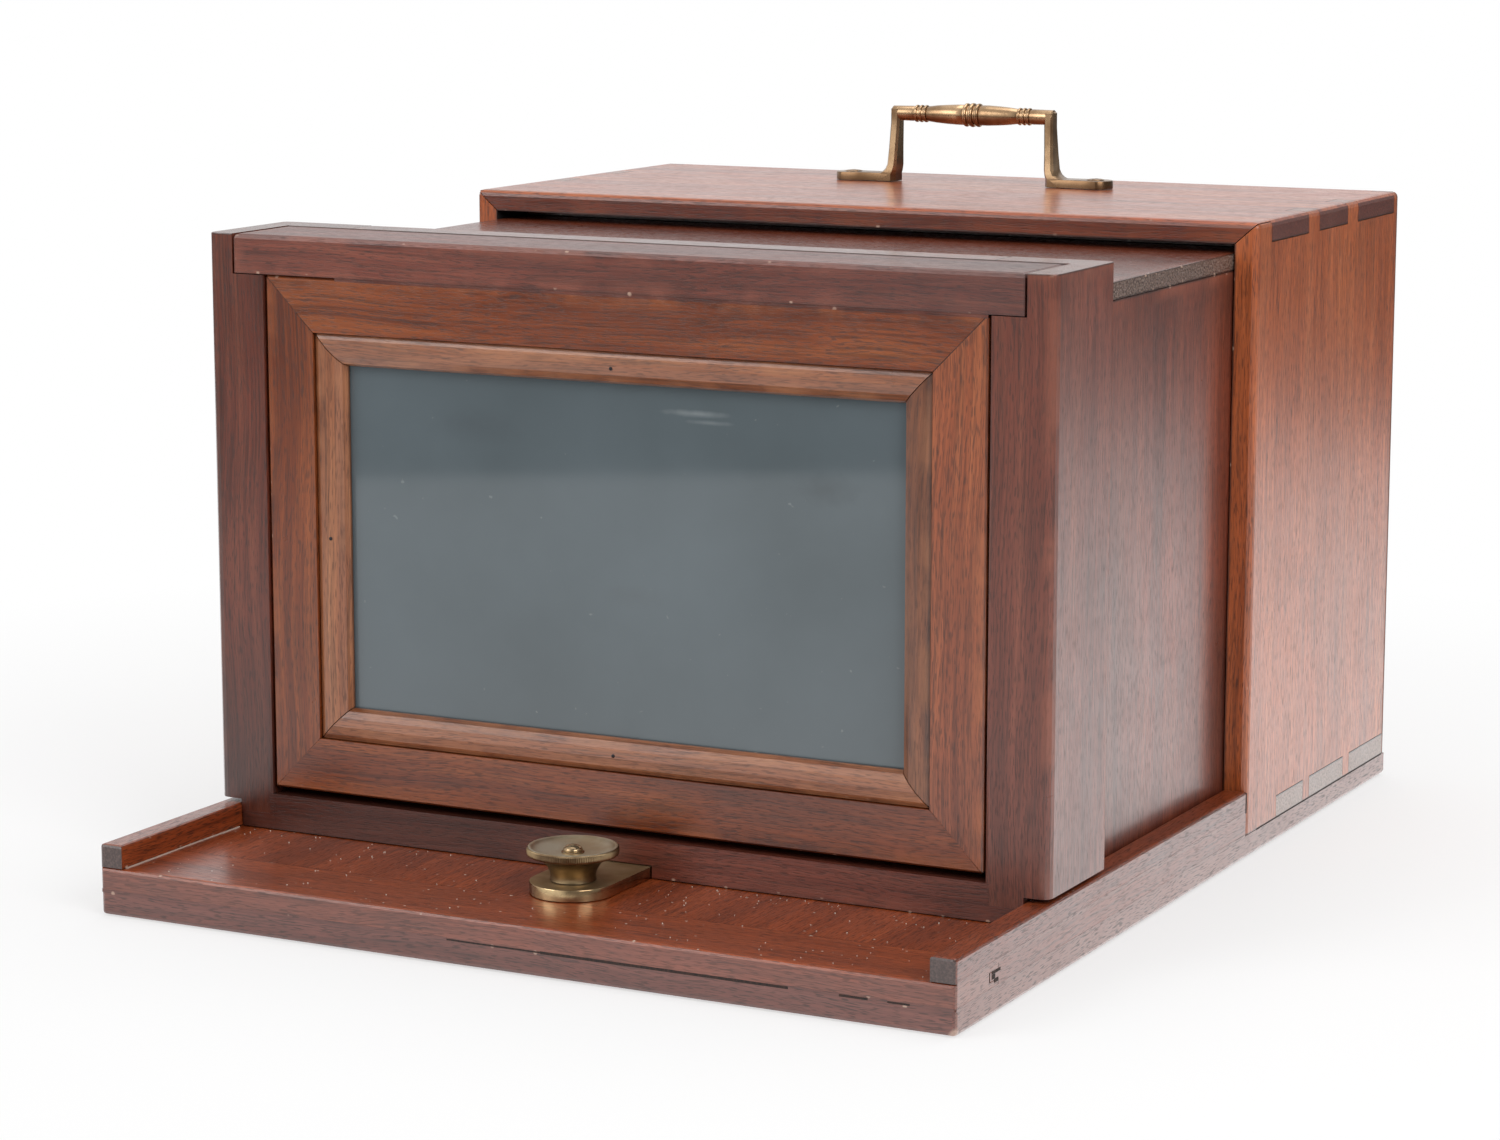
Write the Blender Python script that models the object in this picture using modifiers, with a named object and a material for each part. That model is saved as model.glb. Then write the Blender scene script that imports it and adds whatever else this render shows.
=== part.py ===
"""Sliding-box view camera: mahogany boxes on a baseboard, lift-out focusing screen, brass fittings.

Metres, +Z up, +Y towards the subject, +X to the right of somebody looking at the screen.
The origin is the middle of the baseboard's underside.
"""
import math

import bmesh
import bpy
from mathutils import Matrix, Vector

# Baseboard, deck and rails
BASE_WIDTH = 0.2900
DECK_REACH = 0.2290
BASE_THICK = 0.0075
DECK_THICK = 0.0073
DECK_END_WIDTH = 0.0290
DECK_TONGUE_LENGTH = 0.0060
DECK_TONGUE_THICK = 0.0026
RAIL_WIDTH = 0.0080
RAIL_HEIGHT = 0.0073

# Fixed outer box
BODY_HEIGHT = 0.2080
OUTER_DEPTH = 0.1410
OUTER_SIDE_THICK = 0.0080
OUTER_TOP_THICK = 0.0070
FRONT_THICK = 0.0080
OUTER_ROUND = 0.0020
TAIL_FLARE = 0.0010
TOP_SHOULDER = 0.0135
TOP_PIN = 0.0125
TOP_LAND = 0.0065
TOP_TAIL_SHARES = (1.04, 0.83, 1.13)
FLOOR_SHOULDER = 0.0295
FLOOR_PIN = 0.0080
FLOOR_LAND = 0.0035
FLOOR_TAIL_SHARES = (0.80, 1.08, 1.12)

# Sliding inner box
INNER_OVERLAP = 0.0298
INNER_SIDE_THICK = 0.0060
INNER_TOP_THICK = 0.0055
INNER_FLOOR_THICK = 0.0060
LIGHT_TRAP_WIDTH = 0.0100

# Back frame that takes the screen or the plate holder
BACK_DEPTH = 0.0438
BACK_TOP_DROP = 0.0018
STILE_FACE = 0.0205
STILE_ROUND = 0.0030
STILE_LAP = 0.0040
BACK_RAIL_HEIGHT = 0.0116
WEB_THICK = 0.0122
WEB_REACH = 0.0125
WEB_RAIL_HEIGHT = 0.0200
GROOVE_DEPTH = 0.0070
GROOVE_WIDTH = 0.0080
GROOVE_SET = 0.0085

# Focusing screen
SCREEN_THICK = 0.0180
SCREEN_MEMBER = 0.0172
BEAD_WIDTH = 0.0102
BEAD_DEPTH = 0.0052
GLASS_THICK = 0.0020
HEAD_BAR_HEIGHT = 0.0123
HEAD_BAR_LAP = 0.0106
HEAD_BAR_DEPTH = 0.0313

# Focus clamp
CLAMP_SETBACK = 0.0245
TONGUE_WIDTH = 0.0266
TONGUE_THICK = 0.0036
TONGUE_TAIL = 0.0380
STUD_RADIUS = 0.0030
KNOB_RADIUS = 0.0140
KNOB_NECK_RADIUS = 0.0069
KNOB_HEIGHT = 0.0103
KNOB_RIM = 0.0026
KNOB_DISH = 0.0022
KNOB_SCREW_RADIUS = 0.0030
NUT_SIZE = 0.0180
NUT_THICK = 0.0030
NUT_DROP = 0.0012
SLOT_LAND = 0.0115
FOCUS_STOP = 0.0032

# Carrying handle
HANDLE_SET = 0.1010
HANDLE_SPAN = 0.0630
HANDLE_RISE = 0.0245
HANDLE_LEG = 0.0034
HANDLE_TOP_WIDTH = 0.0052
HANDLE_FOOT_WIDTH = 0.0090
HANDLE_FOOT_END = 0.0062
HANDLE_FOOT_LENGTH = 0.0218
HANDLE_FOOT_THICK = 0.0030
GRIP_END_RADIUS = 0.0026
GRIP_RING_RADIUS = 0.0031
GRIP_BARREL_RADIUS = 0.0037
GRIP_BEAD_RADIUS = 0.0043
GRIP_RING_SET = 0.0200

# Lens and its board
LENS_BOARD_SIZE = 0.1240
LENS_BOARD_THICK = 0.0085
FLANGE_RADIUS = 0.0420
FLANGE_THICK = 0.0035
BARREL_RADIUS = 0.0280
BARREL_WALL = 0.0022
BARREL_LENGTH = 0.0400
BARREL_TAIL = 0.0140
HOOD_RADIUS = 0.0315
HOOD_LENGTH = 0.0240
HOOD_LAP = 0.0080
STOP_RADIUS = 0.0090
LENS_EDGE = 0.0055
LENS_BULGE = 0.0040
LENS_HOLLOW = 0.0030
CAP_DEPTH = 0.0160
CAP_WALL = 0.0014

# Tripod bush
BUSH_SET = 0.0160
BUSH_FLANGE_RADIUS = 0.0160
BUSH_FLANGE_THICK = 0.0020
BUSH_BODY_RADIUS = 0.0090
BUSH_BORE_RADIUS = 0.0048

# Clearances
GLUE_GAP = 0.0002
SEAT_GAP = 0.0003
SLIDE_SIDE_GAP = 0.0005
SLIDE_FLOOR_GAP = 0.00035
SLIDE_TOP_GAP = 0.0030
STILE_RAIL_GAP = 0.0015
SCREEN_FOOT_GAP = 0.0026
SCREEN_SIDE_GAP = 0.0008
PUSH_GAP = 0.0004

# Levels and stations that follow from the sizes
HALF = BASE_WIDTH / 2
BASE_LENGTH = DECK_REACH + OUTER_DEPTH
REAR = -BASE_LENGTH / 2
FRONT = BASE_LENGTH / 2
OUTER_REAR = FRONT - OUTER_DEPTH
DECK_FLOOR = BASE_THICK + GLUE_GAP
DECK_TOP = DECK_FLOOR + DECK_THICK
RAIL_TOP = DECK_TOP + GLUE_GAP + RAIL_HEIGHT
OUTER_CEILING = BODY_HEIGHT - OUTER_TOP_THICK
OUTER_WALL = HALF - OUTER_SIDE_THICK
INNER_HALF = min(OUTER_WALL, HALF - RAIL_WIDTH) - SLIDE_SIDE_GAP
INNER_FLOOR = DECK_TOP + SLIDE_FLOOR_GAP
INNER_TOP = OUTER_CEILING - SLIDE_TOP_GAP
KNOB_Y = REAR + DECK_END_WIDTH + SLOT_LAND
BACK_REAR = KNOB_Y + CLAMP_SETBACK
BACK_FRONT = BACK_REAR + BACK_DEPTH
DRAWN_OUT = OUTER_REAR - BACK_FRONT
INNER_LENGTH = DRAWN_OUT + INNER_OVERLAP
FOCUS_TRAVEL = min(DRAWN_OUT, OUTER_DEPTH - FRONT_THICK - INNER_OVERLAP) - FOCUS_STOP
BACK_TOP = BODY_HEIGHT - BACK_TOP_DROP
WEB_REAR = BACK_FRONT - WEB_THICK
STILE_INNER = HALF - STILE_FACE
RAIL_CREST = INNER_FLOOR + BACK_RAIL_HEIGHT
STILE_FOOT = INNER_FLOOR + STILE_LAP
HEAD_BAR_FLOOR = BACK_TOP - HEAD_BAR_HEIGHT
SCREEN_TOP = HEAD_BAR_FLOOR - SEAT_GAP
SCREEN_FOOT = RAIL_CREST + SCREEN_FOOT_GAP
SCREEN_MID = (SCREEN_TOP + SCREEN_FOOT) / 2
SCREEN_HALF_X = STILE_INNER - SCREEN_SIDE_GAP
SCREEN_HALF_Z = (SCREEN_TOP - SCREEN_FOOT) / 2
OPEN_HALF_X = SCREEN_HALF_X - SCREEN_MEMBER
OPEN_HALF_Z = SCREEN_HALF_Z - SCREEN_MEMBER
SCREEN_REAR = BACK_REAR + SEAT_GAP
GLASS_REAR = SCREEN_REAR + BEAD_DEPTH + SEAT_GAP
TONGUE_TOP = DECK_TOP + SEAT_GAP + TONGUE_THICK
KNOB_FLOOR = TONGUE_TOP + SEAT_GAP
KNOB_TOP = KNOB_FLOOR + KNOB_HEIGHT
AXIS_Z = SCREEN_MID
LENS_FACE = FRONT + GLUE_GAP + LENS_BOARD_THICK
BARREL_FRONT = LENS_FACE + BARREL_LENGTH
HANDLE_Y = OUTER_REAR + HANDLE_SET
GRIP_Z = BODY_HEIGHT + HANDLE_RISE
BUSH_Y = OUTER_REAR + BUSH_SET

# Start from an empty scene
for old in list(bpy.data.objects):
    bpy.data.objects.remove(old, do_unlink=True)


def collection(name):
    made = bpy.data.collections.new(name)
    bpy.context.scene.collection.children.link(made)
    return made


CAMERA = collection("view_camera")
CUTTERS = collection("cutters")


def material(name, colour, roughness, metallic=0.0):
    made = bpy.data.materials.new(name)
    made.use_nodes = True
    shader = made.node_tree.nodes["Principled BSDF"]
    shader.inputs["Base Color"].default_value = (*colour, 1.0)
    shader.inputs["Roughness"].default_value = roughness
    shader.inputs["Metallic"].default_value = metallic
    return made


CASE_WOOD = material("case_mahogany", (0.230, 0.075, 0.035), 0.30)
BACK_WOOD = material("back_mahogany", (0.110, 0.040, 0.028), 0.28)
SCREEN_WOOD = material("screen_mahogany", (0.200, 0.085, 0.042), 0.38)
BEAD_WOOD = material("bead_mahogany", (0.270, 0.120, 0.055), 0.40)
BRASS = material("aged_brass", (0.480, 0.330, 0.130), 0.38, 1.0)
STEEL = material("blued_steel", (0.120, 0.120, 0.130), 0.35, 1.0)
GROUND = material("ground_glass", (0.200, 0.210, 0.230), 0.60)
CROWN = material("crown_glass", (0.700, 0.750, 0.740), 0.05)


def piece(name, bm, slot, origin=(0.0, 0.0, 0.0), smooth=False):
    """Put a finished body into the camera with its origin on the given point."""
    bmesh.ops.recalc_face_normals(bm, faces=bm.faces)
    for face in bm.faces:
        face.smooth = smooth
    mesh = bpy.data.meshes.new(name)
    bm.to_mesh(mesh)
    bm.free()
    mesh.transform(Matrix.Translation(-Vector(origin)))
    made = bpy.data.objects.new(name, mesh)
    made.location = origin
    if slot is None:
        CUTTERS.objects.link(made)
        made.display_type = "WIRE"
        made.hide_render = True
    else:
        mesh.materials.append(slot)
        CAMERA.objects.link(made)
    return made


def box_mesh(low, high):
    bm = bmesh.new()
    size = Vector(high) - Vector(low)
    middle = (Vector(high) + Vector(low)) / 2
    turn = Matrix.Translation(middle) @ Matrix.Diagonal((*size, 1.0))
    bmesh.ops.create_cube(bm, size=1.0, matrix=turn)
    return bm


def prism_mesh(outline, axis, start, end):
    """Extrude a flat outline: its points are (y, z), (x, z) or (x, y) for axis 0, 1 or 2."""
    bm = bmesh.new()
    loops = []
    for level in (start, end):
        loop = []
        for u, v in outline:
            point = [u, v]
            point.insert(axis, level)
            loop.append(bm.verts.new(point))
        loops.append(loop)
    count = len(outline)
    bm.faces.new(loops[0])
    bm.faces.new(loops[1])
    for i in range(count):
        j = (i + 1) % count
        bm.faces.new((loops[0][i], loops[0][j], loops[1][j], loops[1][i]))
    return bm


def round_edges(bm, radius, wanted, segments=2):
    """Round the sharp straight edges whose middle satisfies the given test."""
    bmesh.ops.recalc_face_normals(bm, faces=bm.faces)
    chosen = []
    for edge in bm.edges:
        middle = (edge.verts[0].co + edge.verts[1].co) / 2
        if edge.calc_face_angle(0.0) > 0.6 and wanted(middle):
            chosen.append(edge)
    bmesh.ops.bevel(bm, geom=chosen, offset=radius, offset_type="OFFSET", affect="EDGES",
                    segments=segments, profile=0.5, material=-1, clamp_overlap=True)


def near(value, target):
    return abs(value - target) < 0.00005


def arc(cx, cy, radius, start, end, steps):
    """Points on an arc, angles in degrees."""
    points = []
    for i in range(steps + 1):
        angle = math.radians(start + (end - start) * i / steps)
        points.append((cx + radius * math.cos(angle), cy + radius * math.sin(angle)))
    return points


def cut(target, cutter, operation="DIFFERENCE"):
    step = target.modifiers.new(operation.title(), "BOOLEAN")
    step.operation = operation
    step.solver = "EXACT"
    step.object = cutter


def cut_box(target, low, high):
    cutter = piece(target.name + "_cutter", box_mesh(low, high), None)
    cut(target, cutter)


def cut_prism(target, outline, axis, start, end):
    cutter = piece(target.name + "_cutter", prism_mesh(outline, axis, start, end), None)
    cut(target, cutter)


def turned(name, profile, slot, centre, axis="Z", steps=36, closed=False):
    """Turn a profile of (radius, height) about the Z, X or Y direction through centre.

    The profile runs down its outer side, and a closed one comes back up inside.
    """
    mesh = bpy.data.meshes.new(name)
    points = [(r, 0.0, h) for r, h in profile]
    edges = [(i, i + 1) for i in range(len(points) - 1)]
    if closed:
        edges.append((len(points) - 1, 0))
    mesh.from_pydata(points, edges, [])
    made = bpy.data.objects.new(name, mesh)
    made.location = centre
    if axis == "Y":
        made.rotation_euler = (-math.pi / 2, 0.0, 0.0)
    if axis == "X":
        made.rotation_euler = (0.0, math.pi / 2, 0.0)
    turn = made.modifiers.new("Turn", "SCREW")
    turn.axis = "Z"
    turn.steps = steps
    turn.render_steps = steps
    turn.use_merge_vertices = True
    turn.merge_threshold = 0.00002
    turn.use_smooth_shade = True
    if slot is None:
        CUTTERS.objects.link(made)
        made.display_type = "WIRE"
        made.hide_render = True
    else:
        mesh.materials.append(slot)
        CAMERA.objects.link(made)
    return made


# Baseboard, with the nut's channel along its upper face and the seat for the tripod bush
CHANNEL_HALF = NUT_SIZE / 2 + PUSH_GAP
CHANNEL_FLOOR = BASE_THICK - NUT_THICK - NUT_DROP - 2 * SEAT_GAP
CHANNEL_REAR = KNOB_Y - CHANNEL_HALF
CHANNEL_FRONT = KNOB_Y + FOCUS_TRAVEL + CHANNEL_HALF
body = box_mesh((-HALF, REAR, 0.0), (HALF, FRONT, BASE_THICK))
round_edges(body, 0.0012, lambda m: near(m.z, 0.0) or near(m.y, REAR) and abs(m.x) > HALF - 0.001)
base_board = piece("base_board", body, CASE_WOOD)
cut_box(base_board, (-CHANNEL_HALF, CHANNEL_REAR, CHANNEL_FLOOR),
        (CHANNEL_HALF, CHANNEL_FRONT, BASE_THICK + 0.001))
BUSH_STEPS = 32
seat = ((0.0, 0.02), (BUSH_BODY_RADIUS + SEAT_GAP, 0.02),
        (BUSH_BODY_RADIUS + SEAT_GAP, BUSH_FLANGE_THICK + SEAT_GAP),
        (BUSH_FLANGE_RADIUS + SEAT_GAP, BUSH_FLANGE_THICK + SEAT_GAP),
        (BUSH_FLANGE_RADIUS + SEAT_GAP, -0.01), (0.0, -0.01))
cut(base_board, turned("bush_seat_cutter", seat, None, (0.0, BUSH_Y, 0.0), steps=BUSH_STEPS))

bush = ((BUSH_BODY_RADIUS, BASE_THICK - SEAT_GAP), (BUSH_BODY_RADIUS, BUSH_FLANGE_THICK),
        (BUSH_FLANGE_RADIUS, BUSH_FLANGE_THICK), (BUSH_FLANGE_RADIUS, 0.0),
        (BUSH_BORE_RADIUS, 0.0), (BUSH_BORE_RADIUS, BASE_THICK - SEAT_GAP))
turned("tripod_bush", bush, BRASS, (0.0, BUSH_Y, 0.0), steps=BUSH_STEPS, closed=True)

# Deck: a slotted panel tongued into an end board behind and into the outer box's floor in front
DECK_REAR = REAR + DECK_END_WIDTH + GLUE_GAP
DECK_FRONT = OUTER_REAR - GLUE_GAP
TONGUE_LOW = (DECK_FLOOR + DECK_TOP - DECK_TONGUE_THICK) / 2
TONGUE_HIGH = TONGUE_LOW + DECK_TONGUE_THICK
outline = ((DECK_REAR, DECK_FLOOR), (DECK_FRONT, DECK_FLOOR), (DECK_FRONT, TONGUE_LOW),
           (DECK_FRONT + DECK_TONGUE_LENGTH, TONGUE_LOW),
           (DECK_FRONT + DECK_TONGUE_LENGTH, TONGUE_HIGH), (DECK_FRONT, TONGUE_HIGH),
           (DECK_FRONT, DECK_TOP), (DECK_REAR, DECK_TOP), (DECK_REAR, TONGUE_HIGH),
           (DECK_REAR - DECK_TONGUE_LENGTH, TONGUE_HIGH),
           (DECK_REAR - DECK_TONGUE_LENGTH, TONGUE_LOW), (DECK_REAR, TONGUE_LOW))
deck_panel = piece("deck_panel", prism_mesh(outline, 0, -HALF, HALF), CASE_WOOD)
for side in (-1, 1):
    span = sorted((side * (OUTER_WALL - 2 * GLUE_GAP), side * (HALF + 0.001)))
    cut_box(deck_panel, (span[0], DECK_FRONT, 0.0), (span[1], DECK_FRONT + 0.02, DECK_TOP + 0.001))
SLOT_RADIUS = STUD_RADIUS + 0.0007
slot = arc(0.0, KNOB_Y + FOCUS_TRAVEL, SLOT_RADIUS, 0, 180, 8)
slot += arc(0.0, KNOB_Y, SLOT_RADIUS, 180, 360, 8)
cut_prism(deck_panel, slot, 2, 0.0, DECK_TOP + 0.001)

GROOVE_LOW = TONGUE_LOW - GLUE_GAP
GROOVE_HIGH = TONGUE_HIGH + GLUE_GAP
GROOVE_REACH = DECK_TONGUE_LENGTH + 2 * GLUE_GAP
body = box_mesh((-HALF, REAR, DECK_FLOOR), (HALF, REAR + DECK_END_WIDTH, DECK_TOP))
round_edges(body, 0.0010, lambda m: near(m.y, REAR) and (near(m.z, DECK_TOP) or abs(m.x) > HALF - 0.001))
deck_end = piece("deck_end", body, CASE_WOOD)
cut_box(deck_end, (-HALF - 0.001, REAR + DECK_END_WIDTH - GROOVE_REACH, GROOVE_LOW),
        (HALF + 0.001, REAR + DECK_END_WIDTH + 0.001, GROOVE_HIGH))

for side, word in ((-1, "left"), (1, "right")):
    edges = sorted((side * HALF, side * (HALF - RAIL_WIDTH)))
    body = box_mesh((edges[0], REAR, DECK_TOP + GLUE_GAP), (edges[1], OUTER_REAR - GLUE_GAP, RAIL_TOP))
    round_edges(body, 0.0009, lambda m: near(m.z, RAIL_TOP) or near(m.y, REAR) and abs(m.x) > HALF - 0.001)
    piece("rail_" + word, body, CASE_WOOD)


# Outer box, dovetailed: the top and floor carry tails, the sides carry the pins between them
def tails(shoulder, pin, land, shares):
    """Start and end of each tail along the box, from its rear edge."""
    length = OUTER_DEPTH - shoulder - land - pin * (len(shares) - 1)
    at = OUTER_REAR + shoulder
    spans = []
    for share in shares:
        width = length * share / sum(shares)
        spans.append((at, at + width))
        at += width + pin
    return spans


def tail_outline(side, span, grow, first):
    """Flared plan of one tail and its root in the board, the first one square at the rear."""
    start, end = span
    root = side * (OUTER_WALL - GLUE_GAP)
    tip = side * (HALF + 0.001)
    rear_root = start - TAIL_FLARE if first else start
    return ((root, rear_root - grow), (tip, start - TAIL_FLARE - grow),
            (tip, end + TAIL_FLARE + grow), (root, end + grow))


def pin_outline(side, start, end, flare_start, flare_end):
    """Plan of the gap in a tailed board that a pin of the side fills."""
    root = side * (OUTER_WALL - GLUE_GAP)
    tip = side * (HALF + 0.001)
    return ((root, start), (tip, start + flare_start), (tip, end - flare_end), (root, end))


TOP_TAILS = tails(TOP_SHOULDER, TOP_PIN, TOP_LAND, TOP_TAIL_SHARES)
FLOOR_TAILS = tails(FLOOR_SHOULDER, FLOOR_PIN, FLOOR_LAND, FLOOR_TAIL_SHARES)
MITRE_END = TOP_TAILS[0][0] - TAIL_FLARE

body = box_mesh((-HALF, OUTER_REAR, OUTER_CEILING), (HALF, FRONT, BODY_HEIGHT))
round_edges(body, OUTER_ROUND, lambda m: near(m.z, BODY_HEIGHT), 3)
outer_top = piece("outer_top", body, CASE_WOOD)
for side in (-1, 1):
    for before, after in zip(TOP_TAILS, TOP_TAILS[1:]):
        cut_prism(outer_top, pin_outline(side, before[1], after[0], TAIL_FLARE, TAIL_FLARE),
                  2, OUTER_CEILING - 0.001, BODY_HEIGHT + 0.001)
    cut_prism(outer_top, pin_outline(side, TOP_TAILS[-1][1], FRONT + 0.001, TAIL_FLARE, 0.0),
              2, OUTER_CEILING - 0.001, BODY_HEIGHT + 0.001)
    wall = side * (OUTER_WALL - GLUE_GAP)
    wedge = ((wall, OUTER_CEILING), (wall + side * 0.016, OUTER_CEILING + 0.014),
             (wall + side * 0.016, OUTER_CEILING - 0.002), (wall, OUTER_CEILING - 0.002))
    cut_prism(outer_top, wedge, 1, OUTER_REAR - 0.001, MITRE_END)

body = box_mesh((-HALF, OUTER_REAR, DECK_FLOOR), (HALF, FRONT, DECK_TOP))
outer_floor = piece("outer_floor", body, CASE_WOOD)
cut_box(outer_floor, (-HALF - 0.001, OUTER_REAR - 0.001, GROOVE_LOW),
        (HALF + 0.001, OUTER_REAR + GROOVE_REACH, GROOVE_HIGH))
for side in (-1, 1):
    cut_prism(outer_floor, pin_outline(side, OUTER_REAR - 0.001, FLOOR_TAILS[0][0], 0.0, TAIL_FLARE),
              2, DECK_FLOOR - 0.001, DECK_TOP + 0.001)
    for before, after in zip(FLOOR_TAILS, FLOOR_TAILS[1:]):
        cut_prism(outer_floor, pin_outline(side, before[1], after[0], TAIL_FLARE, TAIL_FLARE),
                  2, DECK_FLOOR - 0.001, DECK_TOP + 0.001)
    cut_prism(outer_floor, pin_outline(side, FLOOR_TAILS[-1][1], FRONT + 0.001, TAIL_FLARE, 0.0),
              2, DECK_FLOOR - 0.001, DECK_TOP + 0.001)

for side, word in ((-1, "left"), (1, "right")):
    edges = sorted((side * HALF, side * OUTER_WALL))
    body = box_mesh((edges[0], OUTER_REAR, DECK_FLOOR), (edges[1], FRONT, BODY_HEIGHT))
    round_edges(body, OUTER_ROUND,
                lambda m: near(abs(m.x), HALF) and not near(m.z, DECK_FLOOR) or near(m.z, BODY_HEIGHT)
                and not near(abs(m.x), OUTER_WALL), 3)
    outer_side = piece("outer_side_" + word, body, CASE_WOOD)
    for i, span in enumerate(TOP_TAILS):
        cut_prism(outer_side, tail_outline(side, span, GLUE_GAP, i == 0), 2,
                  OUTER_CEILING - GLUE_GAP, BODY_HEIGHT + 0.001)
    for span in FLOOR_TAILS:
        cut_prism(outer_side, tail_outline(side, span, GLUE_GAP, False), 2,
                  DECK_FLOOR - 0.001, DECK_TOP + GLUE_GAP)
    wall = side * OUTER_WALL
    wedge = ((wall - side * 0.002, OUTER_CEILING - GLUE_GAP - 0.00175),
             (wall + side * 0.016, OUTER_CEILING - GLUE_GAP + 0.014), (wall - side * 0.002, BODY_HEIGHT + 0.02))
    cut_prism(outer_side, wedge, 1, OUTER_REAR - 0.001, MITRE_END)

BARREL_HOLE = BARREL_RADIUS + SEAT_GAP
FRONT_HOLE = BARREL_RADIUS + 0.006
body = box_mesh((-OUTER_WALL + GLUE_GAP, FRONT - FRONT_THICK, DECK_TOP + GLUE_GAP),
                (OUTER_WALL - GLUE_GAP, FRONT, OUTER_CEILING - GLUE_GAP))
outer_front = piece("outer_front", body, CASE_WOOD)
cut_prism(outer_front, arc(0.0, AXIS_Z, FRONT_HOLE, 0, 352.5, 47), 1, FRONT - 0.05, FRONT + 0.05)

# Lens board, flange and the single-lens barrel with its stop and hood
board = LENS_BOARD_SIZE / 2
body = box_mesh((-board, FRONT + GLUE_GAP, AXIS_Z - board), (board, LENS_FACE, AXIS_Z + board))
round_edges(body, 0.0025, lambda m: near(m.y, LENS_FACE), 3)
lens_board = piece("lens_board", body, CASE_WOOD)
cut_prism(lens_board, arc(0.0, AXIS_Z, BARREL_HOLE, 0, 352.5, 47), 1, FRONT - 0.05, FRONT + 0.05)

LENS_AXIS = (0.0, LENS_FACE, AXIS_Z)
flange = ((BARREL_RADIUS + 0.005, SEAT_GAP + FLANGE_THICK + 0.002),
          (BARREL_RADIUS + 0.0062, SEAT_GAP + FLANGE_THICK),
          (FLANGE_RADIUS - 0.001, SEAT_GAP + FLANGE_THICK), (FLANGE_RADIUS, SEAT_GAP + FLANGE_THICK - 0.001),
          (FLANGE_RADIUS, SEAT_GAP), (BARREL_HOLE, SEAT_GAP),
          (BARREL_HOLE, SEAT_GAP + FLANGE_THICK + 0.002))
turned("lens_flange", flange, BRASS, LENS_AXIS, axis="Y", closed=True)

BORE = BARREL_RADIUS - BARREL_WALL
COLLAR = SEAT_GAP + FLANGE_THICK + 0.002 + SEAT_GAP
barrel = ((BARREL_RADIUS, BARREL_LENGTH), (BARREL_RADIUS, COLLAR + 0.004),
          (BARREL_RADIUS + 0.0035, COLLAR + 0.0035), (BARREL_RADIUS + 0.004, COLLAR + 0.002),
          (BARREL_RADIUS + 0.0035, COLLAR), (BARREL_RADIUS, COLLAR), (BARREL_RADIUS, -BARREL_TAIL),
          (BORE - 0.003, -BARREL_TAIL), (BORE - 0.003, -BARREL_TAIL + 0.002),
          (BORE, -BARREL_TAIL + 0.002), (BORE, BARREL_LENGTH))
turned("lens_barrel", barrel, BRASS, LENS_AXIS, axis="Y", closed=True)

LENS_R = BORE - SEAT_GAP
LENS_FLOOR = -BARREL_TAIL + 0.002 + SEAT_GAP
glass = [(0.0, LENS_FLOOR + LENS_EDGE + LENS_BULGE)]
for share in (0.35, 0.7, 1.0):
    glass.append((LENS_R * share, LENS_FLOOR + LENS_EDGE + LENS_BULGE * (1 - share * share)))
glass.append((LENS_R, LENS_FLOOR))
for share in (0.88, 0.6, 0.3):
    glass.append((LENS_R * share, LENS_FLOOR + LENS_HOLLOW * (1 - share * share)))
glass.append((0.0, LENS_FLOOR + LENS_HOLLOW))
turned("lens_glass", glass, CROWN, LENS_AXIS, axis="Y")

RING_LOW = LENS_FLOOR + LENS_EDGE + SEAT_GAP
ring = ((LENS_R, RING_LOW + 0.004), (LENS_R, RING_LOW), (LENS_R - 0.003, RING_LOW + 0.0008),
        (LENS_R - 0.003, RING_LOW + 0.004))
turned("lens_ring", ring, BRASS, LENS_AXIS, axis="Y", closed=True)

HOOD_REAR = BARREL_LENGTH - HOOD_LAP
HOOD_FRONT = BARREL_LENGTH + SEAT_GAP + HOOD_LENGTH
HOOD_BORE = HOOD_RADIUS - BARREL_WALL
hood = ((HOOD_RADIUS - 0.0006, HOOD_FRONT), (HOOD_RADIUS, HOOD_FRONT - 0.0006),
        (HOOD_RADIUS, HOOD_REAR + 0.003), (HOOD_RADIUS + 0.0012, HOOD_REAR + 0.0022),
        (HOOD_RADIUS + 0.0012, HOOD_REAR + 0.0008), (HOOD_RADIUS, HOOD_REAR),
        (BARREL_HOLE, HOOD_REAR), (BARREL_HOLE, BARREL_LENGTH + SEAT_GAP),
        (BORE, BARREL_LENGTH + SEAT_GAP), (BORE, BARREL_LENGTH + 0.0025), (HOOD_BORE, BARREL_LENGTH + 0.0025),
        (HOOD_BORE, HOOD_FRONT))
turned("lens_hood", hood, BRASS, LENS_AXIS, axis="Y", closed=True)

STOP_LOW = BARREL_LENGTH + 0.0025 + SEAT_GAP
stop = ((HOOD_BORE - SEAT_GAP, STOP_LOW + 0.0012), (HOOD_BORE - SEAT_GAP, STOP_LOW),
        (STOP_RADIUS, STOP_LOW), (STOP_RADIUS, STOP_LOW + 0.0012))
turned("lens_stop", stop, STEEL, LENS_AXIS, axis="Y", closed=True)

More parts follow.
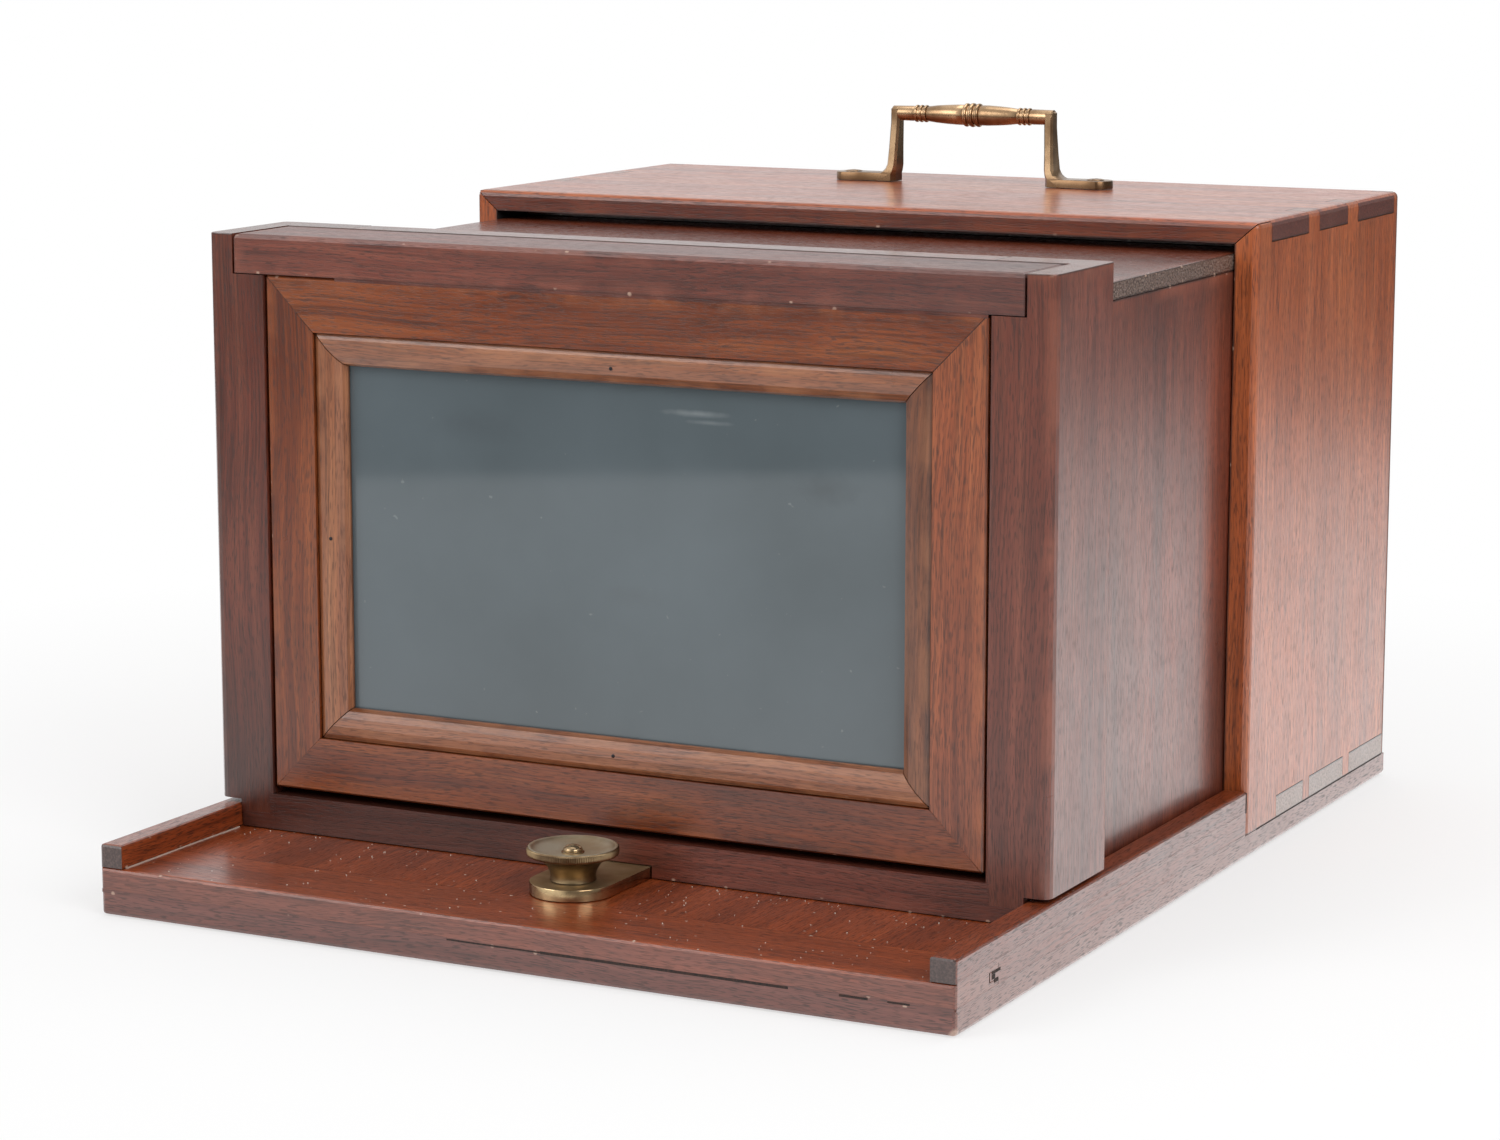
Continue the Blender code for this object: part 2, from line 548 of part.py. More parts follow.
CAP_BORE = HOOD_RADIUS + PUSH_GAP
CAP_CLOSE = HOOD_FRONT + SEAT_GAP
cap = ((0.0, CAP_CLOSE + CAP_WALL), (CAP_BORE, CAP_CLOSE + CAP_WALL),
       (CAP_BORE + CAP_WALL, CAP_CLOSE), (CAP_BORE + CAP_WALL, CAP_CLOSE - CAP_DEPTH + 0.0024),
       (CAP_BORE + CAP_WALL + 0.0009, CAP_CLOSE - CAP_DEPTH + 0.0018),
       (CAP_BORE + CAP_WALL + 0.0009, CAP_CLOSE - CAP_DEPTH + 0.0006),
       (CAP_BORE + CAP_WALL, CAP_CLOSE - CAP_DEPTH), (CAP_BORE, CAP_CLOSE - CAP_DEPTH),
       (CAP_BORE, CAP_CLOSE), (0.0, CAP_CLOSE))
turned("lens_cap", cap, BRASS, LENS_AXIS, axis="Y")

# Carrying handle: feet, tapered legs and a turned grip in one casting
HANDLE_HALF = HANDLE_SPAN / 2
FOOT_LOW = BODY_HEIGHT + GLUE_GAP
FOOT_HIGH = FOOT_LOW + HANDLE_FOOT_THICK
CORNER_TOP = GRIP_Z + HANDLE_LEG / 2 + 0.0006
grip = [(0.0, HANDLE_HALF - 0.001), (GRIP_END_RADIUS, HANDLE_HALF - 0.001)]
for end in (1, -1):
    rings = [(GRIP_END_RADIUS, GRIP_RING_SET + 0.0033)]
    for at in (0.0022, 0.0, -0.0022):
        rings += [(GRIP_RING_RADIUS, GRIP_RING_SET + at + 0.0006), (GRIP_RING_RADIUS, GRIP_RING_SET + at - 0.0006),
                  (GRIP_END_RADIUS, GRIP_RING_SET + at - 0.0011)]
    rings += [(0.0032, GRIP_RING_SET - 0.0060), (GRIP_BARREL_RADIUS, 0.0085), (GRIP_BARREL_RADIUS, 0.0042)]
    for at in (0.0025,):
        rings += [(GRIP_BEAD_RADIUS - 0.0002, at + 0.0007), (GRIP_BEAD_RADIUS - 0.0002, at - 0.0006),
                  (GRIP_BARREL_RADIUS - 0.0002, at - 0.0012)]
    rings.append((GRIP_BEAD_RADIUS, 0.0007))
    if end == 1:
        grip += rings
    else:
        grip += [(r, -h) for r, h in reversed(rings)]
grip += [(GRIP_END_RADIUS, -HANDLE_HALF + 0.001), (0.0, -HANDLE_HALF + 0.001)]
handle = turned("handle", grip, BRASS, (0.0, HANDLE_Y, GRIP_Z), axis="X", steps=16)
for side in (-1, 1):
    out = side * HANDLE_HALF
    lean = side * 0.0010
    inner = out - side * HANDLE_LEG
    foot = HANDLE_FOOT_WIDTH / 2
    top = HANDLE_TOP_WIDTH / 2
    leg = bmesh.new()
    corners = []
    for z, shift, half, slim in ((FOOT_LOW, lean, foot, 0.0), (FOOT_HIGH + 0.0015, lean, foot * 0.93, 0.0),
                                 (GRIP_Z - 0.0035, 0.0, top, 0.0), (CORNER_TOP - 0.0008, 0.0, top, 0.0),
                                 (CORNER_TOP, 0.0, top - 0.0009, 0.0008)):
        ring = []
        for x, y in ((inner + shift + side * slim, -half), (out + shift - side * slim, -half),
                     (out + shift - side * slim, half), (inner + shift + side * slim, half)):
            ring.append(leg.verts.new((x, HANDLE_Y + y, z)))
        corners.append(ring)
    leg.faces.new(corners[0])
    leg.faces.new(corners[-1])
    for lower, upper in zip(corners, corners[1:]):
        for i in range(4):
            j = (i + 1) % 4
            leg.faces.new((lower[i], lower[j], upper[j], upper[i]))
    cut(handle, piece("handle_leg_cutter", leg, None), "UNION")
    end_x = out + side * (HANDLE_FOOT_LENGTH - HANDLE_FOOT_END)
    sweep = (-62, 62) if side == 1 else (118, 242)
    plan = arc(end_x, HANDLE_Y, HANDLE_FOOT_END, sweep[0], sweep[1], 8)
    heel = ((out - side * 0.001, HANDLE_Y + side * foot * 0.96), (out - side * 0.001, HANDLE_Y - side * foot * 0.96))
    tread = prism_mesh(list(plan) + list(heel), 2, FOOT_LOW - 0.00002, FOOT_HIGH)
    cut(handle, piece("handle_foot_cutter", tread, None), "UNION")
    sink = ((0.0, 0.001), (0.0033, 0.001), (0.0031, 0.0), (0.0017, -0.0016), (0.0017, -0.006), (0.0, -0.006))
    cut(handle, turned("handle_screw_cutter", sink, None, (end_x, HANDLE_Y, FOOT_HIGH), steps=16))

# Inner box, its top lying over the sides
SIDE_TOP = INNER_TOP - INNER_TOP_THICK - GLUE_GAP
INNER_REAR = BACK_FRONT + GLUE_GAP
INNER_FRONT = BACK_FRONT + INNER_LENGTH
body = box_mesh((-INNER_HALF, INNER_REAR, INNER_TOP - INNER_TOP_THICK), (INNER_HALF, INNER_FRONT, INNER_TOP))
round_edges(body, 0.0007, lambda m: near(m.z, INNER_TOP) and abs(m.x) > 0.01)
piece("inner_top", body, BACK_WOOD)
for side, word in ((-1, "left"), (1, "right")):
    edges = sorted((side * INNER_HALF, side * (INNER_HALF - INNER_SIDE_THICK)))
    body = box_mesh((edges[0], INNER_REAR, INNER_FLOOR), (edges[1], INNER_FRONT, SIDE_TOP))
    piece("inner_side_" + word, body, BACK_WOOD)
floor_half = INNER_HALF - INNER_SIDE_THICK - GLUE_GAP
body = box_mesh((-floor_half, INNER_REAR, INNER_FLOOR), (floor_half, INNER_FRONT, INNER_FLOOR + INNER_FLOOR_THICK))
piece("inner_floor", body, BACK_WOOD)
body = box_mesh((-INNER_HALF, INNER_FRONT - LIGHT_TRAP_WIDTH, INNER_TOP + GLUE_GAP),
                (INNER_HALF, INNER_FRONT, OUTER_CEILING - PUSH_GAP))
piece("light_trap", body, BACK_WOOD)

# Back frame: grooved stiles lapped over the bottom rail, a top rail behind the plate space
GROOVE_REAR = BACK_REAR + GROOVE_SET
NOTCH_X = STILE_INNER + HEAD_BAR_LAP + SCREEN_SIDE_GAP
for side, word in ((-1, "left"), (1, "right")):
    web = STILE_INNER - WEB_REACH
    deep = STILE_INNER + GROOVE_DEPTH
    plan = arc(HALF - STILE_ROUND, BACK_REAR + STILE_ROUND, STILE_ROUND, -90, 0, 3)
    plan += arc(HALF - OUTER_ROUND, BACK_FRONT - OUTER_ROUND, OUTER_ROUND, 0, 90, 3)
    plan += [(web, BACK_FRONT), (web, WEB_REAR), (STILE_INNER, WEB_REAR),
             (STILE_INNER, GROOVE_REAR + GROOVE_WIDTH), (deep, GROOVE_REAR + GROOVE_WIDTH),
             (deep, GROOVE_REAR), (STILE_INNER, GROOVE_REAR)]
    plan += arc(STILE_INNER + 0.001, BACK_REAR + 0.001, 0.001, 180, 270, 2)
    plan = [(side * x, y) for x, y in plan]
    body = prism_mesh(plan, 2, STILE_FOOT, BACK_TOP)
    round_edges(body, 0.0016, lambda m: near(m.z, BACK_TOP) and (abs(m.x) > HALF - 0.004 or near(m.y, BACK_REAR)))
    stile = piece("back_stile_" + word, body, BACK_WOOD)
    span = sorted((side * (INNER_HALF + SLIDE_SIDE_GAP - 0.0001), side * (HALF + 0.001)))
    cut_box(stile, (span[0], BACK_REAR - 0.001, 0.0), (span[1], BACK_FRONT + 0.001, RAIL_TOP + STILE_RAIL_GAP))
    span = sorted((side * (web - 0.001), side * NOTCH_X))
    cut_box(stile, (span[0], BACK_REAR - 0.001, HEAD_BAR_FLOOR - SEAT_GAP),
            (span[1], BACK_REAR + HEAD_BAR_DEPTH + SEAT_GAP, BACK_TOP + 0.001))

WEB_CREST = RAIL_CREST + WEB_RAIL_HEIGHT
RAIL_HALF = INNER_HALF
body = box_mesh((-RAIL_HALF, BACK_REAR, INNER_FLOOR), (RAIL_HALF, BACK_FRONT, WEB_CREST))
rail = piece("back_bottom_rail", body, BACK_WOOD)
LAP = STILE_FOOT - GLUE_GAP
web = STILE_INNER - WEB_REACH - GLUE_GAP
cut_box(rail, (-0.3, BACK_REAR - 0.001, RAIL_CREST), (0.3, WEB_REAR, WEB_CREST + 0.001))
for side in (-1, 1):
    span = sorted((side * (STILE_INNER - GLUE_GAP), side * 0.3))
    cut_box(rail, (span[0], BACK_REAR - 0.001, LAP), (span[1], WEB_REAR, WEB_CREST + 0.001))
    span = sorted((side * web, side * 0.3))
    cut_box(rail, (span[0], WEB_REAR - GLUE_GAP, LAP), (span[1], BACK_FRONT + 0.001, WEB_CREST + 0.001))
TONGUE_FRONT = BACK_REAR + TONGUE_TAIL
NOTCH_HALF = TONGUE_WIDTH / 2 + SEAT_GAP
cut_box(rail, (-NOTCH_HALF, BACK_REAR - 0.001, 0.0), (NOTCH_HALF, TONGUE_FRONT + SEAT_GAP, TONGUE_TOP + SEAT_GAP))

body = box_mesh((-web, WEB_REAR, BACK_TOP - WEB_RAIL_HEIGHT), (web, BACK_FRONT, BACK_TOP))
round_edges(body, 0.0008, lambda m: near(m.z, BACK_TOP) and near(m.y, BACK_FRONT))
piece("back_top_rail", body, BACK_WOOD)


# Focusing screen: mitred members, mitred bead in front of the glass, loose tongues and head bar
def mitred(name, section, upright, sign, slot, half_x, half_z):
    """A member of a mitred frame: its section is (distance beyond the opening, y)."""
    bm = bmesh.new()
    loops = []
    for end in (-1, 1):
        loop = []
        for reach, y in section:
            if upright:
                x = sign * (half_x + reach)
                z = SCREEN_MID + end * (half_z + reach - GLUE_GAP)
            else:
                x = end * (half_x + reach - GLUE_GAP)
                z = SCREEN_MID + sign * (half_z + reach)
            loop.append(bm.verts.new((x, y, z)))
        loops.append(loop)
    count = len(section)
    bm.faces.new(loops[0])
    bm.faces.new(loops[1])
    for i in range(count):
        j = (i + 1) % count
        bm.faces.new((loops[0][i], loops[0][j], loops[1][j], loops[1][i]))
    return piece(name, bm, slot)


GLASS_FRONT = GLASS_REAR + GLASS_THICK
SCREEN_FRONT = SCREEN_REAR + SCREEN_THICK
LIP = -BEAD_WIDTH
member = ((0.0, SCREEN_REAR), (SCREEN_MEMBER - 0.0006, SCREEN_REAR), (SCREEN_MEMBER, SCREEN_REAR + 0.0006),
          (SCREEN_MEMBER, SCREEN_FRONT), (LIP, SCREEN_FRONT), (LIP, GLASS_FRONT + SEAT_GAP),
          (0.0, GLASS_FRONT + SEAT_GAP))
bead = [(-SEAT_GAP, SCREEN_REAR + 0.0012), (-SEAT_GAP, SCREEN_REAR + BEAD_DEPTH),
        (-BEAD_WIDTH, SCREEN_REAR + BEAD_DEPTH), (-BEAD_WIDTH, SCREEN_REAR + BEAD_DEPTH - 0.0012),
        (-BEAD_WIDTH * 0.92, SCREEN_REAR + 0.0022), (-BEAD_WIDTH * 0.72, SCREEN_REAR + 0.0008),
        (-BEAD_WIDTH * 0.45, SCREEN_REAR + 0.0001), (-BEAD_WIDTH * 0.18, SCREEN_REAR + 0.0004)]
for upright, sign, word in ((True, -1, "left"), (True, 1, "right"), (False, 1, "top"), (False, -1, "bottom")):
    mitred("screen_" + word, member, upright, sign, SCREEN_WOOD, OPEN_HALF_X, OPEN_HALF_Z)
    mitred("bead_" + word, bead, upright, sign, BEAD_WOOD, OPEN_HALF_X, OPEN_HALF_Z)
pane_x = OPEN_HALF_X - SEAT_GAP
pane_z = OPEN_HALF_Z - SEAT_GAP
body = box_mesh((-pane_x, GLASS_REAR, SCREEN_MID - pane_z), (pane_x, GLASS_FRONT, SCREEN_MID + pane_z))
piece("ground_glass", body, GROUND)
for side, word in ((-1, "left"), (1, "right")):
    span = sorted((side * (SCREEN_HALF_X + GLUE_GAP), side * (STILE_INNER + GROOVE_DEPTH - SEAT_GAP)))
    body = box_mesh((span[0], GROOVE_REAR + SEAT_GAP, SCREEN_FOOT),
                    (span[1], GROOVE_REAR + GROOVE_WIDTH - SEAT_GAP, SCREEN_TOP - SEAT_GAP))
    piece("screen_tongue_" + word, body, SCREEN_WOOD)
bar = STILE_INNER + HEAD_BAR_LAP
body = box_mesh((-bar, BACK_REAR, HEAD_BAR_FLOOR), (bar, BACK_REAR + HEAD_BAR_DEPTH, BACK_TOP))
round_edges(body, 0.0014, lambda m: near(m.z, BACK_TOP) and not near(m.y, BACK_REAR + HEAD_BAR_DEPTH))
piece("head_bar", body, BACK_WOOD)

# Focus clamp: tongue plate, thumb knob on its stud, locking screw and captive nut
radius = TONGUE_WIDTH / 2
plan = arc(0.0, KNOB_Y, radius, 180, 360, 20)
plan += [(radius, TONGUE_FRONT), (-radius, TONGUE_FRONT)]
body = prism_mesh(plan, 2, DECK_TOP + SEAT_GAP, TONGUE_TOP)
round_edges(body, 0.0006, lambda m: near(m.z, TONGUE_TOP) and m.y < BACK_REAR - 0.0005, 1)
tongue_plate = piece("tongue_plate", body, BRASS)
STUD_HOLE = STUD_RADIUS + SEAT_GAP
cut_prism(tongue_plate, arc(0.0, KNOB_Y, STUD_HOLE, 0, 345, 23), 2, -0.001, KNOB_TOP)

DISH = KNOB_TOP - KNOB_DISH
flare = KNOB_TOP - KNOB_RIM
knob = [(KNOB_RADIUS - 0.0012, KNOB_TOP), (KNOB_RADIUS - 0.0004, KNOB_TOP), (KNOB_RADIUS, KNOB_TOP - 0.0005),
        (KNOB_RADIUS, flare + 0.0004), (KNOB_RADIUS - 0.0005, flare), (KNOB_RADIUS * 0.82, flare - 0.0008),
        (KNOB_NECK_RADIUS * 1.25, flare - 0.0018), (KNOB_NECK_RADIUS * 1.05, flare - 0.0032),
        (KNOB_NECK_RADIUS, flare - 0.0045), (KNOB_NECK_RADIUS * 1.04, KNOB_FLOOR),
        (STUD_HOLE, KNOB_FLOOR), (STUD_HOLE, DISH), (KNOB_RADIUS * 0.6, DISH + 0.0004),
        (KNOB_RADIUS - 0.0030, DISH + 0.0011)]
turned("clamp_knob", knob, BRASS, (0.0, KNOB_Y, 0.0), closed=True)
SHANK_FLOOR = KNOB_FLOOR + 0.0048
stud = ((0.0, SHANK_FLOOR - SEAT_GAP), (STUD_RADIUS, SHANK_FLOOR - SEAT_GAP),
        (STUD_RADIUS, CHANNEL_FLOOR + 2 * SEAT_GAP), (0.0, CHANNEL_FLOOR + 2 * SEAT_GAP))
turned("clamp_stud", stud, STEEL, (0.0, KNOB_Y, 0.0), steps=24)
HEAD = DISH + SEAT_GAP
screw = ((0.0, HEAD + 0.0017), (KNOB_SCREW_RADIUS * 0.55, HEAD + 0.0015), (KNOB_SCREW_RADIUS * 0.9, HEAD + 0.0009),
         (KNOB_SCREW_RADIUS + 0.0003, HEAD + 0.0002), (KNOB_SCREW_RADIUS + 0.0003, HEAD),
         (STUD_RADIUS - 0.0004, HEAD), (STUD_RADIUS - 0.0004, SHANK_FLOOR), (0.0, SHANK_FLOOR))
turned("knob_screw", screw, STEEL, (0.0, KNOB_Y, 0.0), steps=24)
NUT_TOP = BASE_THICK - SEAT_GAP
half = NUT_SIZE / 2
body = box_mesh((-half, KNOB_Y - half, NUT_TOP - NUT_THICK), (half, KNOB_Y + half, NUT_TOP))
clamp_nut = piece("clamp_nut", body, BRASS, (0.0, KNOB_Y, NUT_TOP))
cut_prism(clamp_nut, arc(0.0, KNOB_Y, STUD_HOLE, 0, 345, 23), 2, -0.001, KNOB_TOP)
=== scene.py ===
# %% [markdown]
# # A sliding-box view camera
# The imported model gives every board, fitting and joint in metres: +X is right seen from behind the camera,
# +Y runs from the focusing screen to the lens and +Z is up. The wooden boards are already the right shape,
# so they keep their solids and get a finish. The turned and cast brass is modelled again, finer.

# %% Load the frame
import math
import random

import bmesh
import bpy
from mathutils import Matrix, Vector


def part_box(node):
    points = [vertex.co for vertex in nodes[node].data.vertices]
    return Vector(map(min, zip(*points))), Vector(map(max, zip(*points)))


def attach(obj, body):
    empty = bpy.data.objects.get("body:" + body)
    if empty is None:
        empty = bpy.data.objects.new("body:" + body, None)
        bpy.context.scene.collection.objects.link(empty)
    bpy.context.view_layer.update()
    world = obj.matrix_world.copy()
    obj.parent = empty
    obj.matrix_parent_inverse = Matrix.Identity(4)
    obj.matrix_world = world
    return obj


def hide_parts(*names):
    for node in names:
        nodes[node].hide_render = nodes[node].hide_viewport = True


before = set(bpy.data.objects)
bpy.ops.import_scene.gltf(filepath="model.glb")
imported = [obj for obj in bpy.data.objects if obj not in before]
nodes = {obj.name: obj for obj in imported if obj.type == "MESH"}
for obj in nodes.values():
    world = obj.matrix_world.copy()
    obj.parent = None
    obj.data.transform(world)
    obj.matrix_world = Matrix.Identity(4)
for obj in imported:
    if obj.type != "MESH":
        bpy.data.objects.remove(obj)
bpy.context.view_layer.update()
MM = 0.001

# %% [markdown]
# ## The photographer's place
# The camera stands behind the object, to its right and a little above. A long lens at about 1.3 m keeps
# the verticals nearly parallel, as in the photograph.

# %% Camera
AIM = Vector((0.0004, -0.0290, 0.0956))
AZIMUTH = math.radians(27.293)
ELEVATION = math.radians(10.007)
DISTANCE = 1.2959
back = Vector((math.sin(AZIMUTH) * math.cos(ELEVATION),
               -math.cos(AZIMUTH) * math.cos(ELEVATION), math.sin(ELEVATION)))
lens = bpy.data.cameras.new("photo_camera")
lens.sensor_width = 36.0
lens.lens = 96.17
lens.sensor_fit = "HORIZONTAL"
photographer = bpy.data.objects.new("photo_camera", lens)
photographer.location = AIM + back * DISTANCE
photographer.rotation_euler = back.to_track_quat("Z", "Y").to_euler()
bpy.context.scene.collection.objects.link(photographer)
bpy.context.scene.camera = photographer
bpy.context.scene.view_settings.view_transform = "Standard"
print("camera at", [round(v, 3) for v in photographer.location])


# %% [markdown]
# ## Small tools for materials
# Colours are written as sRGB hex, as a painter would note them, and turned to linear once. One function
# adds a node: an input that is a node or a socket becomes a link, any other value is set. A node stands
# for its first output, which is the one that most nodes are used for. Stops are for colour ramps.

# %% Colour and node tools
def linear(hexed):
    """Linear colour for a shader, from sRGB hex."""
    channels = [int(hexed[i:i + 2], 16) / 255 for i in (1, 3, 5)]
    return tuple(c / 12.92 if c <= 0.04045 else ((c + 0.055) / 1.055) ** 2.4 for c in channels) + (1.0,)


def add(tree, kind, inputs=None, stops=(), **settings):
    """Add a node with its settings, the stops of its ramp, and its links and values."""
    made = tree.nodes.new("ShaderNode" + kind)
    for name, value in settings.items():
        setattr(made, name, value)
    for number, (at, colour) in enumerate(stops):
        point = made.color_ramp.elements[number] if number < 2 else made.color_ramp.elements.new(at)
        point.position = at
        point.color = linear(colour) if isinstance(colour, str) else (colour, colour, colour, 1.0)
    for key, value in (inputs or {}).items():
        if isinstance(value, bpy.types.Node):
            value = value.outputs[0]
        if isinstance(value, bpy.types.NodeSocket):
            tree.links.new(value, made.inputs[key])
        else:
            made.inputs[key].default_value = value
    return made


def new_material(name):
    """A material with an empty node tree."""
    made = bpy.data.materials.new(name)
    made.use_nodes = True
    made.node_tree.nodes.clear()
    return made, made.node_tree


def finish_node(name, finish):
    """Give a solid of the model its finish."""
    solid = nodes[name]
    solid.data.materials.clear()
    solid.data.materials.append(finish)


# %% [markdown]
# ## Studio
# A white table top in a white room, with soft boxes. A lamp for every reflection would be hard to place, so
# the room and the table say what polish and glass see in them. The table ends a little in front of the
# object and to its sides: what lies beyond is dim, which is what darkens the upper part of the glass.

# %% Room
PLAIN_LIGHT = 0.42
world = bpy.data.worlds.new("white_room")
bpy.context.scene.world = world
world.use_nodes = True
tree = world.node_tree
tree.nodes.clear()
path = add(tree, "LightPath")
# White to the eye and through glass, plain as light, and in reflections dimmer to the right
way = add(tree, "SeparateXYZ", {0: add(tree, "TexCoord").outputs["Generated"]})
curtain = add(tree, "MapRange", {"Value": way.outputs["X"], "From Min": -0.15, "From Max": 0.25,
                                 "To Min": 1.0, "To Max": 0.25})
shown = add(tree, "Math", {0: path.outputs["Is Camera Ray"], 1: path.outputs["Is Transmission Ray"]},
            operation="MAXIMUM")
plain = add(tree, "MapRange", {"Value": shown, "To Min": PLAIN_LIGHT, "To Max": 1.0})
strength = add(tree, "Mix", {0: path.outputs["Is Glossy Ray"], 2: plain, 3: curtain})
sky = add(tree, "Background", {"Color": linear("#ffffff"), "Strength": strength})
add(tree, "OutputWorld", {"Surface": sky})
print("room:", len(tree.nodes), "nodes")

# %% Table finish
TABLE_X = (-1.15, 1.15)
TABLE_Y = (-1.01, 1.05)
# The near edge of the table runs square to the photographer's view, not to the camera
EDGE_TURN = math.radians(30)
SHARP_EDGE = 0.022
SOFT_EDGE = 0.2
LAMP_POOL = (0.42, 0.12, 0.0)
# Matt white laminate: it takes the object's soft shadow and is plain white farther off
table_top, tree = new_material("white_table_top")
spot = add(tree, "TexCoord").outputs["Object"]
place = add(tree, "SeparateXYZ", {0: spot})
square = (math.sin(EDGE_TURN), math.cos(EDGE_TURN), 0.0)
nearness = add(tree, "VectorMath", {0: spot, 1: square}, operation="DOT_PRODUCT").outputs["Value"]
across, along_y = place.outputs["X"], place.outputs["Y"]
widths = []
for start, end, (low, high) in ((across, across, TABLE_X), (nearness, along_y, TABLE_Y)):
    above = add(tree, "MapRange", {"Value": start, "From Min": low - SHARP_EDGE,
                                   "From Max": low + SHARP_EDGE})
    below = add(tree, "MapRange", {"Value": end, "From Min": high + SOFT_EDGE,
                                   "From Max": high - SOFT_EDGE})
    widths.append(add(tree, "Math", {0: above, 1: below}, operation="MULTIPLY"))
on_table = add(tree, "Math", {0: widths[0], 1: widths[1]}, operation="MULTIPLY")
path = add(tree, "LightPath")
# Painted light: in reflections the table glows, brightest in a pool to the right of the object, and beyond
# its edges it is dim
away = add(tree, "VectorMath", {0: spot, 1: LAMP_POOL}, operation="DISTANCE").outputs["Value"]
pool = add(tree, "MapRange", {"Value": away, "From Min": 0.95, "From Max": 0.10,
                              "To Min": 1.1, "To Max": 1.95})
glow = add(tree, "MapRange", {"Value": on_table, "To Min": 0.06, "To Max": pool})
reach = add(tree, "VectorMath", {0: spot}, operation="LENGTH").outputs["Value"]
far = add(tree, "MapRange", {"Value": reach, "From Min": 0.15, "From Max": 0.55, "To Min": 0.55})
lifted = add(tree, "Math", {0: far, 1: path.outputs["Is Camera Ray"]}, operation="MULTIPLY")
matt = add(tree, "BsdfDiffuse", {"Color": linear("#f4f4f4")})
white = add(tree, "Emission", {"Color": linear("#ffffff"), "Strength": 1.0})
mirrored = add(tree, "Emission", {"Color": linear("#ffffff"), "Strength": glow})
seen = add(tree, "MixShader", {0: lifted, 1: matt, 2: white})
surface = add(tree, "MixShader", {0: path.outputs["Is Glossy Ray"], 1: seen, 2: mirrored})
add(tree, "OutputMaterial", {"Surface": surface})
print("table finish:", len(tree.nodes), "nodes")

# %% Table and lamps
TABLE_GAP = 0.0004
LAMP_AIM = Vector((0.0, 0.0, 0.1))
bm = bmesh.new()
bmesh.ops.create_grid(bm, x_segments=1, y_segments=1, size=6.0)
bmesh.ops.translate(bm, verts=bm.verts, vec=(0.0, 0.0, -TABLE_GAP))
mesh = bpy.data.meshes.new("table_top")
bm.to_mesh(mesh)
bm.free()
mesh.materials.append(table_top)
table = bpy.data.objects.new("table_top", mesh)
bpy.context.scene.collection.objects.link(table)

for name, place, size, watts in (("soft_box_right", (1.5, -0.9, 1.15), 1.1, 19.0),
                                 ("soft_box_left", (-1.3, -1.7, 1.3), 1.3, 17.0),
                                 ("soft_box_top", (0.1, 0.5, 1.9), 1.4, 14.0)):
    lamp = bpy.data.lights.new(name, "AREA")
    lamp.size = size
    lamp.energy = watts
    holder = bpy.data.objects.new(name, lamp)
    holder.location = place
    holder.rotation_euler = (Vector(place) - LAMP_AIM).to_track_quat("Z", "Y").to_euler()
    bpy.context.scene.collection.objects.link(holder)
print("studio: table and soft boxes")


# %% [markdown]
# ## French-polished mahogany: the grain
# Mahogany has broad ribbon figure along the board, fine streaks, and open pores that show as short dark
# lines. A scanned picture would repeat from board to board, so the grain is noise that is drawn out along
# the board. Every board was cut from another place in the log, so each gets its own shift in that noise.

# %% Grain
DRIFT_MM = 125.0
DRIFT = 0.010
FIGURE_MM = 17.0
BAND_MM = 3.2
STREAK_MM = 0.70
# Real pores are about 0.2 mm wide; they are drawn at 0.3 mm so that they still show in a picture.
PORE_MM = 0.30
PORE_LENGTH_MM = 3.6
# Each noise: length along the grain and width across it in mm, detail and distortion
NOISES = {"figure": (210.0, FIGURE_MM, 3.0, 0.5), "band": (120.0, BAND_MM, 2.0, 0.0),
          "streak": (55.0, STREAK_MM, 2.0, 0.0), "pore": (PORE_LENGTH_MM, PORE_MM, 0.0, 0.0),
          "cloud": (90.0, 45.0, 4.0, 0.0)}


def along(grain, length_mm, width_mm):
    """Mapping scale that repeats every length_mm along the grain and every width_mm across it."""
    return tuple(1000 / length_mm if name == grain else 1000 / width_mm for name in "XYZ")


def grain_noises(tree, point, grain, seed, strip):
    """The noises of one board. Where a strip edges its sides, the grain turns to run along it."""
    drift = add(tree, "TexNoise", {"Vector": point, "Scale": 1000 / DRIFT_MM, "Detail": 2.0})
    bent = add(tree, "VectorMath", {0: drift.outputs["Color"], 1: (0.5, 0.5, 0.5)}, operation="SUBTRACT")
    bent = add(tree, "VectorMath", {0: bent, "Scale": DRIFT}, operation="SCALE")
    flow = add(tree, "VectorMath", {0: point, 1: bent}, operation="ADD")
    if strip is not None:
        x, y, z = add(tree, "SeparateXYZ", {0: flow}).outputs
        swapped = add(tree, "CombineXYZ", {0: y, 1: x, 2: z})
        flow = add(tree, "Mix", {0: strip, 4: flow, 5: swapped}, data_type="VECTOR").outputs[1]
    shift = (seed * 0.371, seed * 0.817, seed * 0.563)
    noises = {}
    for name, (length_mm, width_mm, detail, distortion) in NOISES.items():
        laid = add(tree, "Mapping", {"Vector": flow, "Location": shift,
                                     "Scale": along(grain, length_mm, width_mm)})
        noises[name] = add(tree, "TexNoise", {"Vector": laid, "Scale": 1.0, "Detail": detail,
                                              "Distortion": distortion})
    return noises


print("grain:", ", ".join(NOISES))


# %% [markdown]
# ## French-polished mahogany: colour and wear
# Polish that hands hold goes purple brown in clouds, and redder wood shows where edges are rubbed. Across
# its ends a board shows dots and drinks more polish, so the end grain is darker. Dirt stays along the
# arrises; on the glazing beads that dark edge is widened, and there it is also painted shade in the joint
# with the frame. Wear could be painted on by hand, but the distance to the nearest edge places it on any
# board.

# %% Colour of clean wood
OLD_POLISH = "#33201c"
PORE_DIRT = "#2c140c"
STREAK_SHARE = 0.85


